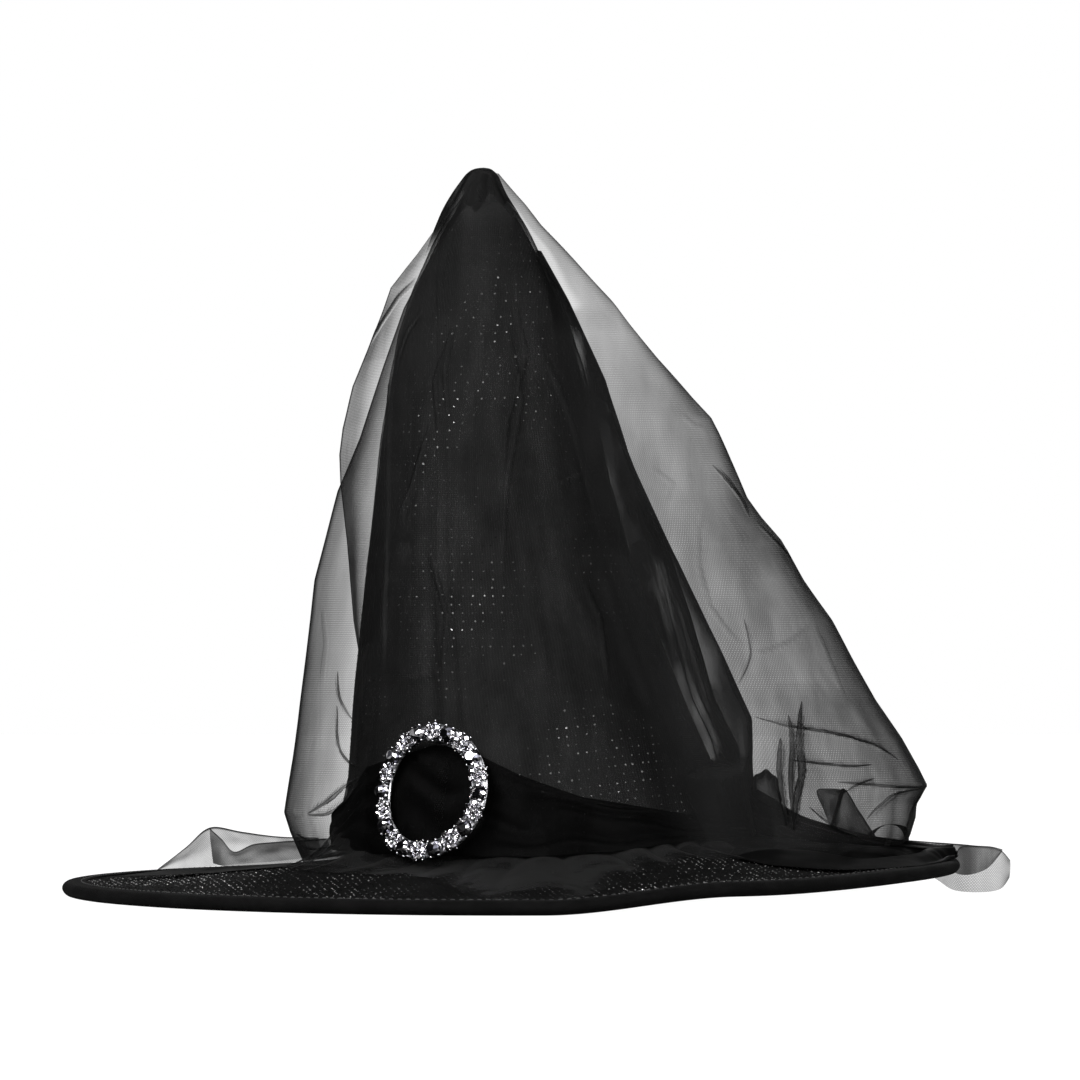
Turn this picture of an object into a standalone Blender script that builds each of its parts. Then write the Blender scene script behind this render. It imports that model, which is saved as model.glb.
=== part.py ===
"""Witch hat with a tulle veil, a tulle sash and a rhinestone slide buckle.

Frame: metres, +Z up. The origin is on the resting plane, midway between the brim's left edge and the
end of the sash tail. -Y is the front, where the buckle sits left of the middle, and +X is the wearer's
left, where the sash is knotted. Every wrap-around surface is a grid over an angle and a height, given a
wall by a Solidify modifier, so each sheet of cloth is one closed solid.
"""

from functools import partial
from math import atan2, cos, exp, hypot, pi, radians, sin

import bmesh
import bpy
from mathutils import Matrix, Vector

# Driving dimensions of the whole hat.
MM = 0.001
BRIM_RADIUS = 200.0 * MM
BRIM_X = -11.5 * MM
CROWN_RADIUS = 91.6 * MM
CROWN_X = 5.4 * MM
PEAK_X = -24.2 * MM
PEAK_Z = 322.0 * MM
PEAK_RADIUS = 3.0 * MM
EDGE_X = BRIM_RADIUS - BRIM_X

# The brim's layers, from the floor up. The tape wraps round the other three and the wire.
TAPE_WALL = 0.7 * MM
TAPE_HEIGHT = 6.0 * MM
TAPE_WIDTH = 10.0 * MM
# The shares of the tape's section at which its lower lip ends and its upper lip starts.
LOWER_LIP, UPPER_LIP = 0.2, 0.8
UNDER_COVER_Z = 0.9 * MM
CORE_Z = 1.7 * MM
TOP_COVER_Z = 4.6 * MM
COVER_WALL = 0.5 * MM
CORE_WALL = 2.6 * MM
LAYER_SETBACK = 6.0 * MM
WIRE_RADIUS = 1.0 * MM
OPENING_RADIUS = 90.2 * MM
BRIM_TOP = TOP_COVER_Z + COVER_WALL
BRIM_RISE = 8.0 * MM
FLAT_EDGE = 0.11
# The brim springs up to the right of its middle in two steps: from, to and height of each.
BRIM_SPRINGS = ((15.0 * MM, 92.0 * MM, 6.5 * MM), (100.0 * MM, BRIM_RADIUS, 3.4 * MM))

# The crown's layers, as offsets from its outer face.
CROWN_WALL = 0.8 * MM
CROWN_FOOT = BRIM_TOP + BRIM_RISE + CROWN_WALL + 0.3 * MM
LINING_OFFSET = -1.2 * MM
LINING_WALL = 0.6 * MM
BAND_OFFSET = -2.2 * MM
BAND_WALL = 1.0 * MM
SWEATBAND_HEIGHT = 26.0 * MM
SEAM_WIDTH = 8.0 * MM

# The veil, the sash and the buckle stand off the crown in this order.
VEIL_WALL = 0.6 * MM
PANEL_OFFSET = 0.6 * MM
BAR_OFFSET = 4.2 * MM
SASH_OFFSET = 6.2 * MM
SASH_WALL = 1.2 * MM
SASH_HALF = 18.0 * MM
SASH_Z = 46.0 * MM

# The buckle: a round slide, bowed to suit the crown.
BUCKLE_Z = 47.3 * MM
BUCKLE_AZIMUTH = radians(242.0)
BUCKLE_TWIST = radians(-9.0)
BUCKLE_LEAN = radians(11.0)
BUCKLE_STANDOFF = 12.8 * MM
RING_INNER = 21.2 * MM
RING_OUTER = 30.8 * MM
RING_MIDDLE = (RING_INNER + RING_OUTER) / 2
RING_THICK = 2.0 * MM
BOW_RADIUS = 96.0 * MM
STONE_GAP = 0.3 * MM
STONE_PAIRS = 10
LARGE_STONE_RADIUS = 3.6 * MM
LARGE_STONE_HEIGHT = 2.8 * MM
SMALL_STONE_RADIUS = 1.45 * MM
SMALL_STONE_HEIGHT = 1.9 * MM
SMALL_STONE_STEP = 3.0 * MM
CUP_PLATE = Vector((8.7, 5.916, 0.9)) * MM

TURN = 2 * pi
CROWN_COLUMNS = 36
CROWN_ROWS = 10
BRIM_COLUMNS = 56


# ---------------------------------------------------------------- scene and materials


def clear_scene():
    for obj in list(bpy.data.objects):
        bpy.data.objects.remove(obj)


def material(name, colour, roughness, metallic=0.0):
    """A Principled material with this base colour."""
    made = bpy.data.materials.new(name)
    made.use_nodes = True
    shader = made.node_tree.nodes["Principled BSDF"]
    shader.inputs["Base Color"].default_value = (*colour, 1.0)
    shader.inputs["Roughness"].default_value = roughness
    shader.inputs["Metallic"].default_value = metallic
    return made


def mesh_data(name, mesh, smooth_angle=None):
    """A bmesh made into mesh data. Edges sharper than smooth_angle stay crisp."""
    data = bpy.data.meshes.new(name)
    mesh.to_mesh(data)
    mesh.free()
    if smooth_angle:
        data.shade_smooth()
        data.set_sharp_from_angle(angle=smooth_angle)
    return data


def add_object(name, data, finish, parent=None):
    obj = bpy.data.objects.new(name, data)
    obj.data.materials.append(finish)
    obj.parent = parent
    bpy.context.scene.collection.objects.link(obj)
    return obj


def add_empty(name, location):
    """An empty on a joint's axis, which carries the pieces that move."""
    empty = bpy.data.objects.new(name, None)
    empty.location = location
    bpy.context.scene.collection.objects.link(empty)
    bpy.context.view_layer.update()
    return empty


# ---------------------------------------------------------------- small maths


def smooth(low, high, value):
    """0 below low, 1 above high, and an S-curve between."""
    t = min(1.0, max(0.0, (value - low) / (high - low)))
    return t * t * (3 - 2 * t)


def mix(a, b, t):
    return a + (b - a) * t


def on_outline(points, value):
    """The second coordinate of a polyline at this first coordinate. points run in rising order."""
    for (x0, y0), (x1, y1) in zip(points, points[1:]):
        if value <= x1:
            return mix(y0, y1, (value - x0) / (x1 - x0))
    return points[-1][1]


def on_bezier(a, b, c, d, t):
    return a * (1 - t) ** 3 + b * (3 * t * (1 - t) ** 2) + c * (3 * t * t * (1 - t)) + d * t**3


# ---------------------------------------------------------------- the hat's two surfaces


def brim_lift(x):
    """How far the brim rises off the floor: it is flat on the left and springs up on the right."""
    return sum(height * smooth(start, end, x - BRIM_X) for start, end, height in BRIM_SPRINGS)


def brim_rise(share):
    """The brim is flat at its edge and slopes up a little towards the crown."""
    return BRIM_RISE * smooth(FLAT_EDGE, 1.0, 1 - share)


def brim_point(angle, share, z, setback=LAYER_SETBACK):
    """A point of the brim, from its opening (share 0) to its outer edge (share 1)."""
    outer = BRIM_RADIUS - setback
    x = mix(CROWN_X + OPENING_RADIUS * cos(angle), BRIM_X + outer * cos(angle), share)
    y = mix(OPENING_RADIUS, outer, share) * sin(angle)
    return Vector((x, y, z + brim_rise(share) + brim_lift(x)))


def brim_height(x, y):
    """The height of the brim's top face at this place."""
    from_crown = hypot(x - CROWN_X, y)
    share = (from_crown - OPENING_RADIUS) / (BRIM_RADIUS - LAYER_SETBACK - OPENING_RADIUS)
    return BRIM_TOP + brim_rise(min(1.0, max(0.0, share))) + brim_lift(x)


def press(share):
    """How much the soft crown is pressed flat at this share of the way down from its peak."""
    return (share / 0.25 * exp(1 - share / 0.25)) ** 1.6 * (1 - share * share)


def crown_half_width(share):
    return PEAK_RADIUS + (CROWN_RADIUS - PEAK_RADIUS) * (share + 0.15 * press(share))


def crown_half_depth(share):
    return PEAK_RADIUS + (CROWN_RADIUS - PEAK_RADIUS) * share * (1 - 0.38 * press(share))


def crown_middle(share):
    """The crown leans: its middle moves from over the opening to the peak."""
    return mix(PEAK_X, CROWN_X, share**2.6)


def crown_point(angle, share, offset=0.0):
    """A point of the crown's outer face, share 0 at the peak and 1 at the brim, moved out by offset."""
    x = crown_middle(share) + (crown_half_width(share) + offset) * cos(angle)
    y = (crown_half_depth(share) + offset) * sin(angle)
    foot = CROWN_FOOT + brim_lift(CROWN_X + CROWN_RADIUS * cos(angle))
    top = PEAK_Z + 2 * offset
    return Vector((x, y, mix(top, foot, share)))


def share_at(z, angle):
    """The share of the way down the crown at which its face is at height z."""
    foot = CROWN_FOOT + brim_lift(CROWN_X + CROWN_RADIUS * cos(angle))
    return (PEAK_Z - z) / (PEAK_Z - foot)


# ---------------------------------------------------------------- solids from grids


def grid_mesh(name, point, columns, rows, closed=True, cap=False):
    """A sheet of quads through point(u, v), u and v from 0 to 1.

    closed joins u's two ends, and cap closes the end where v is 0.
    """
    mesh = bmesh.new()
    around = columns if closed else columns + 1
    lines = []
    for row in range(rows + 1):
        lines.append([mesh.verts.new(point(col / columns, row / rows)) for col in range(around)])
    for upper, lower in zip(lines, lines[1:]):
        for col in range(columns):
            after = (col + 1) % around
            mesh.faces.new((upper[col], lower[col], lower[after], upper[after]))
    if cap:
        mesh.faces.new(lines[0])
    mesh.normal_update()
    return mesh_data(name, mesh, radians(40))


def in_parent(data, parent):
    """Moves a mesh drawn in the hat's frame into its parent's frame."""
    if parent:
        data.transform(parent.matrix_world.inverted())
    return data


def sheet(name, point, columns, rows, wall, finish, closed=True, cap=False, side=1.0, parent=None):
    """A cloth sheet: a grid with a wall on the side its faces point (1), or on the other side (-1)."""
    data = in_parent(grid_mesh(name, point, columns, rows, closed, cap), parent)
    obj = add_object(name, data, finish, parent)
    thicken = obj.modifiers.new("Wall", "SOLIDIFY")
    thicken.thickness = wall
    thicken.offset = side
    return obj


def tube(name, points, radius, finish, closed=True, parent=None):
    """A round bar along points."""
    curve = bpy.data.curves.new(name, "CURVE")
    curve.dimensions = "3D"
    curve.bevel_depth = radius
    curve.bevel_resolution = 1
    curve.use_fill_caps = not closed
    spline = curve.splines.new("POLY")
    spline.points.add(len(points) - 1)
    back = parent.matrix_world.inverted() if parent else Matrix()
    for knot, place in zip(spline.points, points):
        knot.co = (*(back @ Vector(place)), 1.0)
    spline.use_cyclic_u = closed
    return add_object(name, curve, finish, parent)


# ---------------------------------------------------------------- the brim


def brim_layer(name, low, wall, finish):
    """One flat layer of the brim, its lower face at height low, stopping short of the wire."""

    def point(u, v):
        return brim_point(TURN * u, 1 - v**1.6, low)

    return sheet(name, point, BRIM_COLUMNS, 4, wall, finish, side=-1.0)


def tape_point(u, v):
    """The edge tape's outer face: a lower lip, a half-round nose and an upper lip."""
    nose = TAPE_HEIGHT / 2
    lip = TAPE_WIDTH - nose
    angle = mix(-pi / 2, pi / 2, smooth(LOWER_LIP, UPPER_LIP, v))
    inset = nose - nose * cos(angle)
    if v < LOWER_LIP:
        inset = nose + lip * (1 - v / LOWER_LIP)
    if v > UPPER_LIP:
        inset = nose + lip * (v - UPPER_LIP) / (1 - UPPER_LIP)
    return brim_point(TURN * u, 1.0, nose + nose * sin(angle), setback=inset)


def brim_wire_points(count):
    """The wire runs in the nose of the tape."""
    inset = TAPE_WALL + 0.4 * MM + WIRE_RADIUS
    return [
        brim_point(TURN * i / count, 1.0, TAPE_HEIGHT / 2, setback=inset) for i in range(count)
    ]


def make_brim(cloth, board, tape, steel):
    brim_layer("brim_under_cover", UNDER_COVER_Z, COVER_WALL, cloth)
    brim_layer("brim_core", CORE_Z, CORE_WALL, board)
    brim_layer("brim_top_cover", TOP_COVER_Z, COVER_WALL, cloth)
    sheet("brim_edge_tape", tape_point, BRIM_COLUMNS, 8, TAPE_WALL, tape)
    tube("brim_edge_wire", brim_wire_points(BRIM_COLUMNS), WIRE_RADIUS, steel)


# ---------------------------------------------------------------- the crown


SEAM_STARTS = 0.9
PEAK_KNOT_RADIUS = 3.4 * MM
PEAK_KNOT_SQUASH = (1.0, 0.85, 0.42)


def crown_shell_point(u, v):
    """The cone down to its foot, then the seam allowance turned out flat on the brim."""
    angle = TURN * u
    if v < SEAM_STARTS:
        return crown_point(angle, v / SEAM_STARTS)
    out = SEAM_WIDTH * (v - SEAM_STARTS) / (1 - SEAM_STARTS)
    foot = crown_point(angle, 1.0)
    seam = foot + Vector((cos(angle), sin(angle), 0.0)) * out
    seam.z = brim_height(seam.x, seam.y) + CROWN_WALL + 0.3 * MM
    return seam


def lining_point(u, v):
    return crown_point(TURN * u, mix(0.02, 0.985, v), LINING_OFFSET)


def sweatband_point(u, v):
    """The band hangs from inside the crown down through the brim's opening."""
    angle = TURN * u
    place = crown_point(angle, mix(share_at(SWEATBAND_HEIGHT, angle), 1.0, v), BAND_OFFSET)
    place.z -= (CROWN_FOOT - BRIM_RISE - UNDER_COVER_Z) * v
    return place


def make_peak_knot(thread):
    """The thread knot that tacks the veil to the peak."""
    mesh = bmesh.new()
    bmesh.ops.create_icosphere(mesh, subdivisions=2, radius=PEAK_KNOT_RADIUS)
    bmesh.ops.scale(mesh, vec=PEAK_KNOT_SQUASH, verts=mesh.verts)
    knot = add_object("peak_knot", mesh_data("peak_knot", mesh, pi), thread)
    above = 2 * PANEL_OFFSET + VEIL_WALL + 1.8 * MM
    knot.location = (PEAK_X, 0.0, PEAK_Z + above)


def make_crown(cloth, lining, ribbon, thread):
    layers = (
        ("crown_shell", crown_shell_point, CROWN_ROWS, CROWN_WALL, cloth, True),
        ("crown_interlining", lining_point, CROWN_ROWS, LINING_WALL, lining, True),
        ("sweatband", sweatband_point, 2, BAND_WALL, ribbon, False),
    )
    for name, point, rows, wall, finish, cap in layers:
        sheet(name, point, CROWN_COLUMNS, rows, wall, finish, cap=cap, side=-1.0)
    make_peak_knot(thread)


# ---------------------------------------------------------------- the veil's fixed panels

PANEL_TURNS_OUT = 0.8
TURN_OUT_HEIGHT = 5.0 * MM
HEM_CLEARANCE = 1.5 * MM
FRONT_PANEL = (radians(208.0), radians(334.0))
BACK_PANEL = (radians(26.0), radians(150.0))


def hem_reach(angle):
    """How far the hem spreads on the brim: a pointed corner at the front, a lower one at the back."""
    corner = 62 * MM * exp(-(((angle - radians(267)) / radians(16)) ** 2))
    back = 40 * MM * exp(-(((angle - radians(112)) / radians(22)) ** 2))
    return 24 * MM + corner + back


def panel_point(span, u, v):
    """A panel follows the crown from the peak, passes under the sash, and turns out over the brim."""
    angle = mix(*span, u)
    foot_lift = brim_lift(CROWN_X + CROWN_RADIUS * cos(angle))
    turn_share = share_at(CROWN_FOOT + foot_lift + TURN_OUT_HEIGHT, angle)
    if v < PANEL_TURNS_OUT:
        return crown_point(angle, mix(0.02, turn_share, v / PANEL_TURNS_OUT), PANEL_OFFSET)
    t = (v - PANEL_TURNS_OUT) / (1 - PANEL_TURNS_OUT)
    start = crown_point(angle, turn_share, PANEL_OFFSET)
    reach = 8 * MM + hem_reach(angle)
    out = Vector((cos(angle), sin(angle), 0.0))
    end = start + out * reach
    end.z = brim_height(end.x, end.y) + HEM_CLEARANCE
    bend = start + out * 9 * MM
    bend.z = brim_height(bend.x, bend.y) + HEM_CLEARANCE
    return on_bezier(start, bend, bend.lerp(end, 0.5) + Vector((0, 0, HEM_CLEARANCE)), end, t)


def make_panels(tulle):
    for name, span in (("veil_front_panel", FRONT_PANEL), ("veil_back_panel", BACK_PANEL)):
        sheet(name, partial(panel_point, span), 14, 15, VEIL_WALL, tulle, closed=False)


# ---------------------------------------------------------------- the veil's loose sides

# Height and reach in x of each loose side, from its hem up.
RIGHT_REACH = (
    (25 * MM, 168 * MM),
    (48 * MM, 174 * MM),
    (216 * MM, 76 * MM),
    (306 * MM, -9 * MM),
)
LEFT_REACH = (
    (21 * MM, -108 * MM),
    (32 * MM, -112.5 * MM),
    (176 * MM, -92 * MM),
    (211 * MM, -87.5 * MM),
    (272 * MM, -66 * MM),
    (306 * MM, -41 * MM),
)
RIGHT_SPAN = (radians(-60.0), radians(60.0))
LEFT_SPAN = (radians(197.0), radians(128.0))
SIDE_SWELL = 1.1
SIDE_NEAR = 3.0 * MM
SIDE_FURTHER = 7.5 * MM


def side_point(span, outline, u, v):
    """A loose side leaves the crown in front, swings out to the outline, and comes back behind."""
    low, high = outline[0][0], outline[-1][0]
    z = mix(high, low, v)
    ends = []
    for angle in span:
        share = share_at(z, angle)
        offset = SIDE_NEAR + SIDE_FURTHER * smooth(0.1, 0.6, share)
        ends.append(crown_point(angle, share, offset))
        ends[-1].z = z
    front, back = ends
    # The middle of the curve lies on the outline when its two handles are pulled out this far.
    pull = (on_outline(outline, z) - (front.x + back.x) / 8) / 0.75
    ahead = Vector((pull, front.y * SIDE_SWELL, z))
    behind = Vector((pull, back.y * SIDE_SWELL, z))
    return on_bezier(front, ahead, behind, back, u)


def make_loose_sides(tulle, right_hinge, left_hinge):
    sides = (
        ("veil_right_side", RIGHT_SPAN, RIGHT_REACH, right_hinge),
        ("veil_left_side", LEFT_SPAN, LEFT_REACH, left_hinge),
    )
    for name, span, outline, hinge in sides:
        point = partial(side_point, span, outline)
        sheet(name, point, 14, 10, VEIL_WALL, tulle, closed=False, parent=hinge)


# ---------------------------------------------------------------- the sash, its bow and its tail

KNOT_AZIMUTH = radians(-8.0)
KNOT_SIZE = Vector((8.0, 13.0, 14.0)) * MM
BOW_BAND = 24.0 * MM
TAIL_HINGE_X = 176.0 * MM
TAIL_START_X = 112.0 * MM
TAIL_HALF_WIDTH = 19.0 * MM
TAIL_CLEARANCE = 1.1 * MM
TAIL_GAP = 0.4 * MM
TAIL_FALL = 15.5 * MM
BOW_LENGTH = 42.0 * MM
BOW_HEIGHT = 9.0 * MM


def sash_point(u, v):
    """The band round the crown's foot, level with the buckle."""
    angle = TURN * u
    z = SASH_Z + mix(SASH_HALF, -SASH_HALF, v)
    place = crown_point(angle, share_at(z, angle), SASH_OFFSET)
    place.z = z
    return place


def knot_centre():
    place = sash_point(KNOT_AZIMUTH / TURN, 0.5)
    out = Vector((cos(KNOT_AZIMUTH), sin(KNOT_AZIMUTH), 0.0))
    return place + out * (SASH_WALL + KNOT_SIZE.x + 3.4 * MM)


def make_knot(tulle):
    mesh = bmesh.new()
    bmesh.ops.create_icosphere(mesh, subdivisions=3, radius=1.0)
    for vert in mesh.verts:
        around = atan2(vert.co.x, vert.co.y)
        vert.co *= 1 + 0.05 * sin(7 * around)
    bmesh.ops.scale(mesh, vec=KNOT_SIZE, verts=mesh.verts)
    knot = add_object("sash_knot", mesh_data("sash_knot", mesh, pi), tulle)
    knot.location = knot_centre()
    knot.rotation_euler.z = KNOT_AZIMUTH


def bow_point(side, u, v):
    """A loop of the bow: a band that runs out from the knot, over and back, widening as it goes."""
    start = knot_centre() + Vector((KNOT_SIZE.x + 1.5 * MM, side * 8 * MM, -6 * MM))
    along = Vector((0.93, side * 0.36, -0.1))
    angle = TURN * u
    run = (1 - cos(angle)) / 2
    across = Vector((-0.36 * side, 0.93, 0.0)) * (BOW_BAND * mix(0.3, 1.0, run) * (v - 0.5))
    sag = Vector((0.0, 0.0, -7 * MM * run * run))
    lift = Vector((0.0, 0.0, BOW_HEIGHT * mix(0.35, 1.0, run) * sin(angle)))
    return start + along * (BOW_LENGTH * run) + across + lift + sag


def tail_surface(x, across):
    """The tail lies on the brim, then falls over the edge tape and ends in a round corner."""
    edge = BRIM_X + BRIM_RADIUS + 0.8 * MM
    drop = max(0.0, x - edge) / (EDGE_X - edge)
    near = min(x, BRIM_X + BRIM_RADIUS)
    base = max(TAPE_HEIGHT + brim_lift(near), brim_height(near, across)) + TAIL_CLEARANCE
    wave = 0.5 * MM * (1 + sin(across / TAIL_HALF_WIDTH * 4.0))
    fall = TAIL_FALL * (drop * drop * 0.6 + drop * 0.4)
    return base + wave - fall


def tail_point(low_x, high_x, u, v):
    x = mix(high_x, low_x, v)
    corner = smooth(EDGE_X - 34 * MM, EDGE_X, x)
    half = TAIL_HALF_WIDTH * mix(1.0, 0.5, corner * corner)
    across = half * (2 * u - 1)
    return Vector((x, across, tail_surface(x, across)))


def make_sash(tulle, tail_hinge):
    sheet("sash_band", sash_point, CROWN_COLUMNS, 3, SASH_WALL, tulle)
    make_knot(tulle)
    for name, side in (("sash_bow_front", -1), ("sash_bow_back", 1)):
        sheet(name, partial(bow_point, side), 20, 3, VEIL_WALL, tulle)
    parts = (
        ("sash_tail_run", TAIL_START_X, TAIL_HINGE_X - TAIL_GAP, None),
        ("sash_tail_end", TAIL_HINGE_X + TAIL_GAP, EDGE_X - TAIL_GAP, tail_hinge),
    )
    for name, start, end, hinge in parts:
        point = partial(tail_point, start, end)
        sheet(name, point, 8, 8, VEIL_WALL, tulle, closed=False, side=-1.0, parent=hinge)


# ---------------------------------------------------------------- the buckle


def buckle_frame():
    """The buckle's own frame: x across, y up its face, z out of its face, on the sash's face."""
    share = share_at(BUCKLE_Z, BUCKLE_AZIMUTH)
    place = crown_point(BUCKLE_AZIMUTH, share, BUCKLE_STANDOFF)
    place.z = BUCKLE_Z
    facing = BUCKLE_AZIMUTH + BUCKLE_TWIST
    out = Vector((cos(facing), sin(facing), 0.0)) * cos(BUCKLE_LEAN)
    out.z = sin(BUCKLE_LEAN)
    across = Vector((0.0, 0.0, 1.0)).cross(out).normalized()
    up = out.cross(across)
    turn = Matrix((across, up, out)).transposed().to_4x4()
    return Matrix.Translation(place) @ turn


def bowed(x, y, z):
    """A point of the flat buckle, moved on to its bow about an axis behind it."""
    angle = x / BOW_RADIUS
    return Vector(((BOW_RADIUS + z) * sin(angle), y, (BOW_RADIUS + z) * cos(angle) - BOW_RADIUS))


def seat_matrix(around, radius, height):
    """A seat on the ring's face: this far round and out, turned to face away from the bow's axis."""
    x, y = radius * cos(around), radius * sin(around)
    face = Matrix.Rotation(x / BOW_RADIUS, 4, "Y")
    return Matrix.Translation(bowed(x, y, height)) @ face @ Matrix.Rotation(around, 4, "Z")


def ring_profile():
    """The ring's section: flat back, low walls and a bevelled face. Pairs of radius and height."""
    edge = 0.7 * MM
    return (
        (RING_OUTER, 0.0),
        (RING_OUTER, RING_THICK - edge),
        (RING_OUTER - edge, RING_THICK),
        (RING_INNER + edge, RING_THICK),
        (RING_INNER, RING_THICK - edge),
        (RING_INNER, 0.0),
    )


def make_ring(place, silver, parent):
    steps = 40
    mesh = bmesh.new()
    loops = []
    for i in range(steps):
        angle = TURN * i / steps
        loop = [bowed(r * cos(angle), r * sin(angle), z) for r, z in ring_profile()]
        loops.append([mesh.verts.new(place @ point) for point in loop])
    count = len(ring_profile())
    for i in range(steps):
        here, after = loops[i], loops[(i + 1) % steps]
        for k in range(count):
            up = (k + 1) % count
            mesh.faces.new((here[k], after[k], after[up], here[up]))
    data = mesh_data("buckle_ring", mesh, radians(30))
    add_object("buckle_ring", in_parent(data, parent), silver, parent)


def make_bar(place, silver, parent):
    """The bar behind the sash: a bent strap from the back of the ring at the bottom to the top."""
    depth = BAR_OFFSET - BUCKLE_STANDOFF
    inside = RING_INNER + 0.8 * MM
    half_width, thick, gap = 2.5 * MM, 1.0 * MM, STONE_GAP
    foot = RING_INNER + 5.0 * MM
    back = [(foot, -gap), (inside, -gap), (inside, depth)]
    front = [(foot, -gap - thick), (inside + thick, -gap - thick), (inside + thick, depth - thick)]
    section = back + [(-y, z) for y, z in reversed(back)]
    section += [(-y, z) for y, z in front] + list(reversed(front))
    mesh = bmesh.new()
    sides = []
    for x in (-half_width, half_width):
        sides.append([mesh.verts.new(place @ bowed(x, y, z)) for y, z in section])
    left, right = sides
    count = len(section)
    for k in range(count):
        after = (k + 1) % count
        mesh.faces.new((left[k], left[after], right[after], right[k]))
    mesh.faces.new(list(reversed(left)))
    mesh.faces.new(right)
    bmesh.ops.recalc_face_normals(mesh, faces=mesh.faces)
    add_object("buckle_bar", in_parent(mesh_data("buckle_bar", mesh), parent), silver, parent)


def gem_mesh(mesh, radius, height, sides, matrix):
    """A faceted stone on a flat back: a girdle, a sloping crown and a table."""
    rings = ((1.0, 0.0), (1.0, 0.4), (0.55, 1.0))
    loops = []
    for share, level in rings:
        loop = []
        for i in range(sides):
            angle = TURN * i / sides
            local = Vector((radius * share * cos(angle), radius * share * sin(angle), height * level))
            loop.append(mesh.verts.new(matrix @ local))
        loops.append(loop)
    for lower, upper in zip(loops, loops[1:]):
        for i in range(sides):
            after = (i + 1) % sides
            mesh.faces.new((lower[i], lower[after], upper[after], upper[i]))
    mesh.faces.new(list(reversed(loops[0])))
    mesh.faces.new(loops[-1])


def make_large_stone(name, place, seat, crystal, parent):
    mesh = bmesh.new()
    gem_mesh(mesh, LARGE_STONE_RADIUS, LARGE_STONE_HEIGHT, 10, place @ seat)
    add_object(name, in_parent(mesh_data(name, mesh), parent), crystal, parent)


def small_stone_places():
    """Six small stones in two rows across the ring."""
    places = []
    for column in (0.5, -0.5):
        for row in (-1, 0, 1):
            places.append(Vector((row, column, 0.0)) * SMALL_STONE_STEP)
    return places


def set_stone(cluster, name, mesh, crystal, parent):
    """Joins a stone to its cup plate. The stone itself stays hidden."""
    stone = add_object(name, in_parent(mesh_data(name, mesh), parent), crystal, parent)
    stone.hide_render = True
    stone.display_type = "WIRE"
    join = cluster.modifiers.new(name, "BOOLEAN")
    join.operation = "UNION"
    join.object = stone


def make_cluster(name, place, seat, crystal, parent):
    """A cast cup plate with six small stones set close together, as one body."""
    half_thick = Vector((0.0, 0.0, CUP_PLATE.z / 2))
    plate = bmesh.new()
    shape = Matrix.Translation(half_thick) @ Matrix.Diagonal((*CUP_PLATE, 1.0))
    bmesh.ops.create_cube(plate, size=1.0, matrix=place @ seat @ shape)
    cluster = add_object(name, in_parent(mesh_data(name, plate), parent), crystal, parent)
    for k, spot in enumerate(small_stone_places()):
        stone = bmesh.new()
        sunk = place @ seat @ Matrix.Translation(spot + half_thick)
        gem_mesh(stone, SMALL_STONE_RADIUS, SMALL_STONE_HEIGHT, 6, sunk)
        set_stone(cluster, f"{name}_stone_{k}", stone, crystal, parent)


def make_buckle(silver, crystal, slide):
    place = buckle_frame()
    make_ring(place, silver, slide)
    make_bar(place, silver, slide)
    face = RING_THICK + STONE_GAP
    for i in range(STONE_PAIRS):
        around = TURN * i / STONE_PAIRS
        seat = seat_matrix(around, RING_MIDDLE, face)
        make_large_stone(f"stone_large_{i + 1:02d}", place, seat, crystal, slide)
        seat = seat_matrix(around + pi / STONE_PAIRS, RING_MIDDLE, face)
        make_cluster(f"stone_cluster_{i + 1:02d}", place, seat, crystal, slide)


# ---------------------------------------------------------------- the whole hat


def main():
    clear_scene()
    cloth = material("dotted_black_cloth", (0.014, 0.014, 0.015), 0.75)
    board = material("brim_board", (0.03, 0.03, 0.03), 0.9)
    tape = material("black_edge_tape", (0.02, 0.02, 0.02), 0.6)
    steel = material("spring_wire", (0.5, 0.5, 0.5), 0.35, 1.0)
    lining = material("stiff_interlining", (0.05, 0.05, 0.05), 0.9)
    ribbon = material("sweatband_ribbon", (0.02, 0.02, 0.02), 0.55)
    thread = material("black_thread", (0.02, 0.02, 0.02), 0.7)
    tulle = material("black_tulle", (0.03, 0.03, 0.03), 0.8)
    silver = material("silver_plate", (0.75, 0.75, 0.78), 0.2, 1.0)
    crystal = material("clear_stone", (0.92, 0.92, 0.96), 0.05)

    peak = (PEAK_X, 0.0, PEAK_Z)
    right_hinge = add_empty("veil_right_hinge", peak)
    left_hinge = add_empty("veil_left_hinge", peak)
    slide = add_empty("buckle_slide_axis", (crown_middle(share_at(SASH_Z, pi / 2)), 0.0, SASH_Z))
    tail_hinge = add_empty("tail_hinge", (TAIL_HINGE_X, 0.0, tail_surface(TAIL_HINGE_X, 0.0)))

    make_brim(cloth, board, tape, steel)
    make_crown(cloth, lining, ribbon, thread)
    make_panels(tulle)
    make_loose_sides(tulle, right_hinge, left_hinge)
    make_sash(tulle, tail_hinge)
    make_buckle(silver, crystal, slide)


main()
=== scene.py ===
"""Looks of the witch hat: black dotted cloth, sheer black net and a rhinestone slide buckle.

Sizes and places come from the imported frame. The crown and the brim follow the frame's own surfaces,
and every sheet of net is a grid over the crown, over the brim, or between them.
"""

from dataclasses import dataclass
from functools import partial, reduce
from math import atan2, cos, exp, hypot, pi, radians, sin
from random import Random

import bmesh
import bpy
from mathutils import Matrix, Vector, noise


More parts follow.
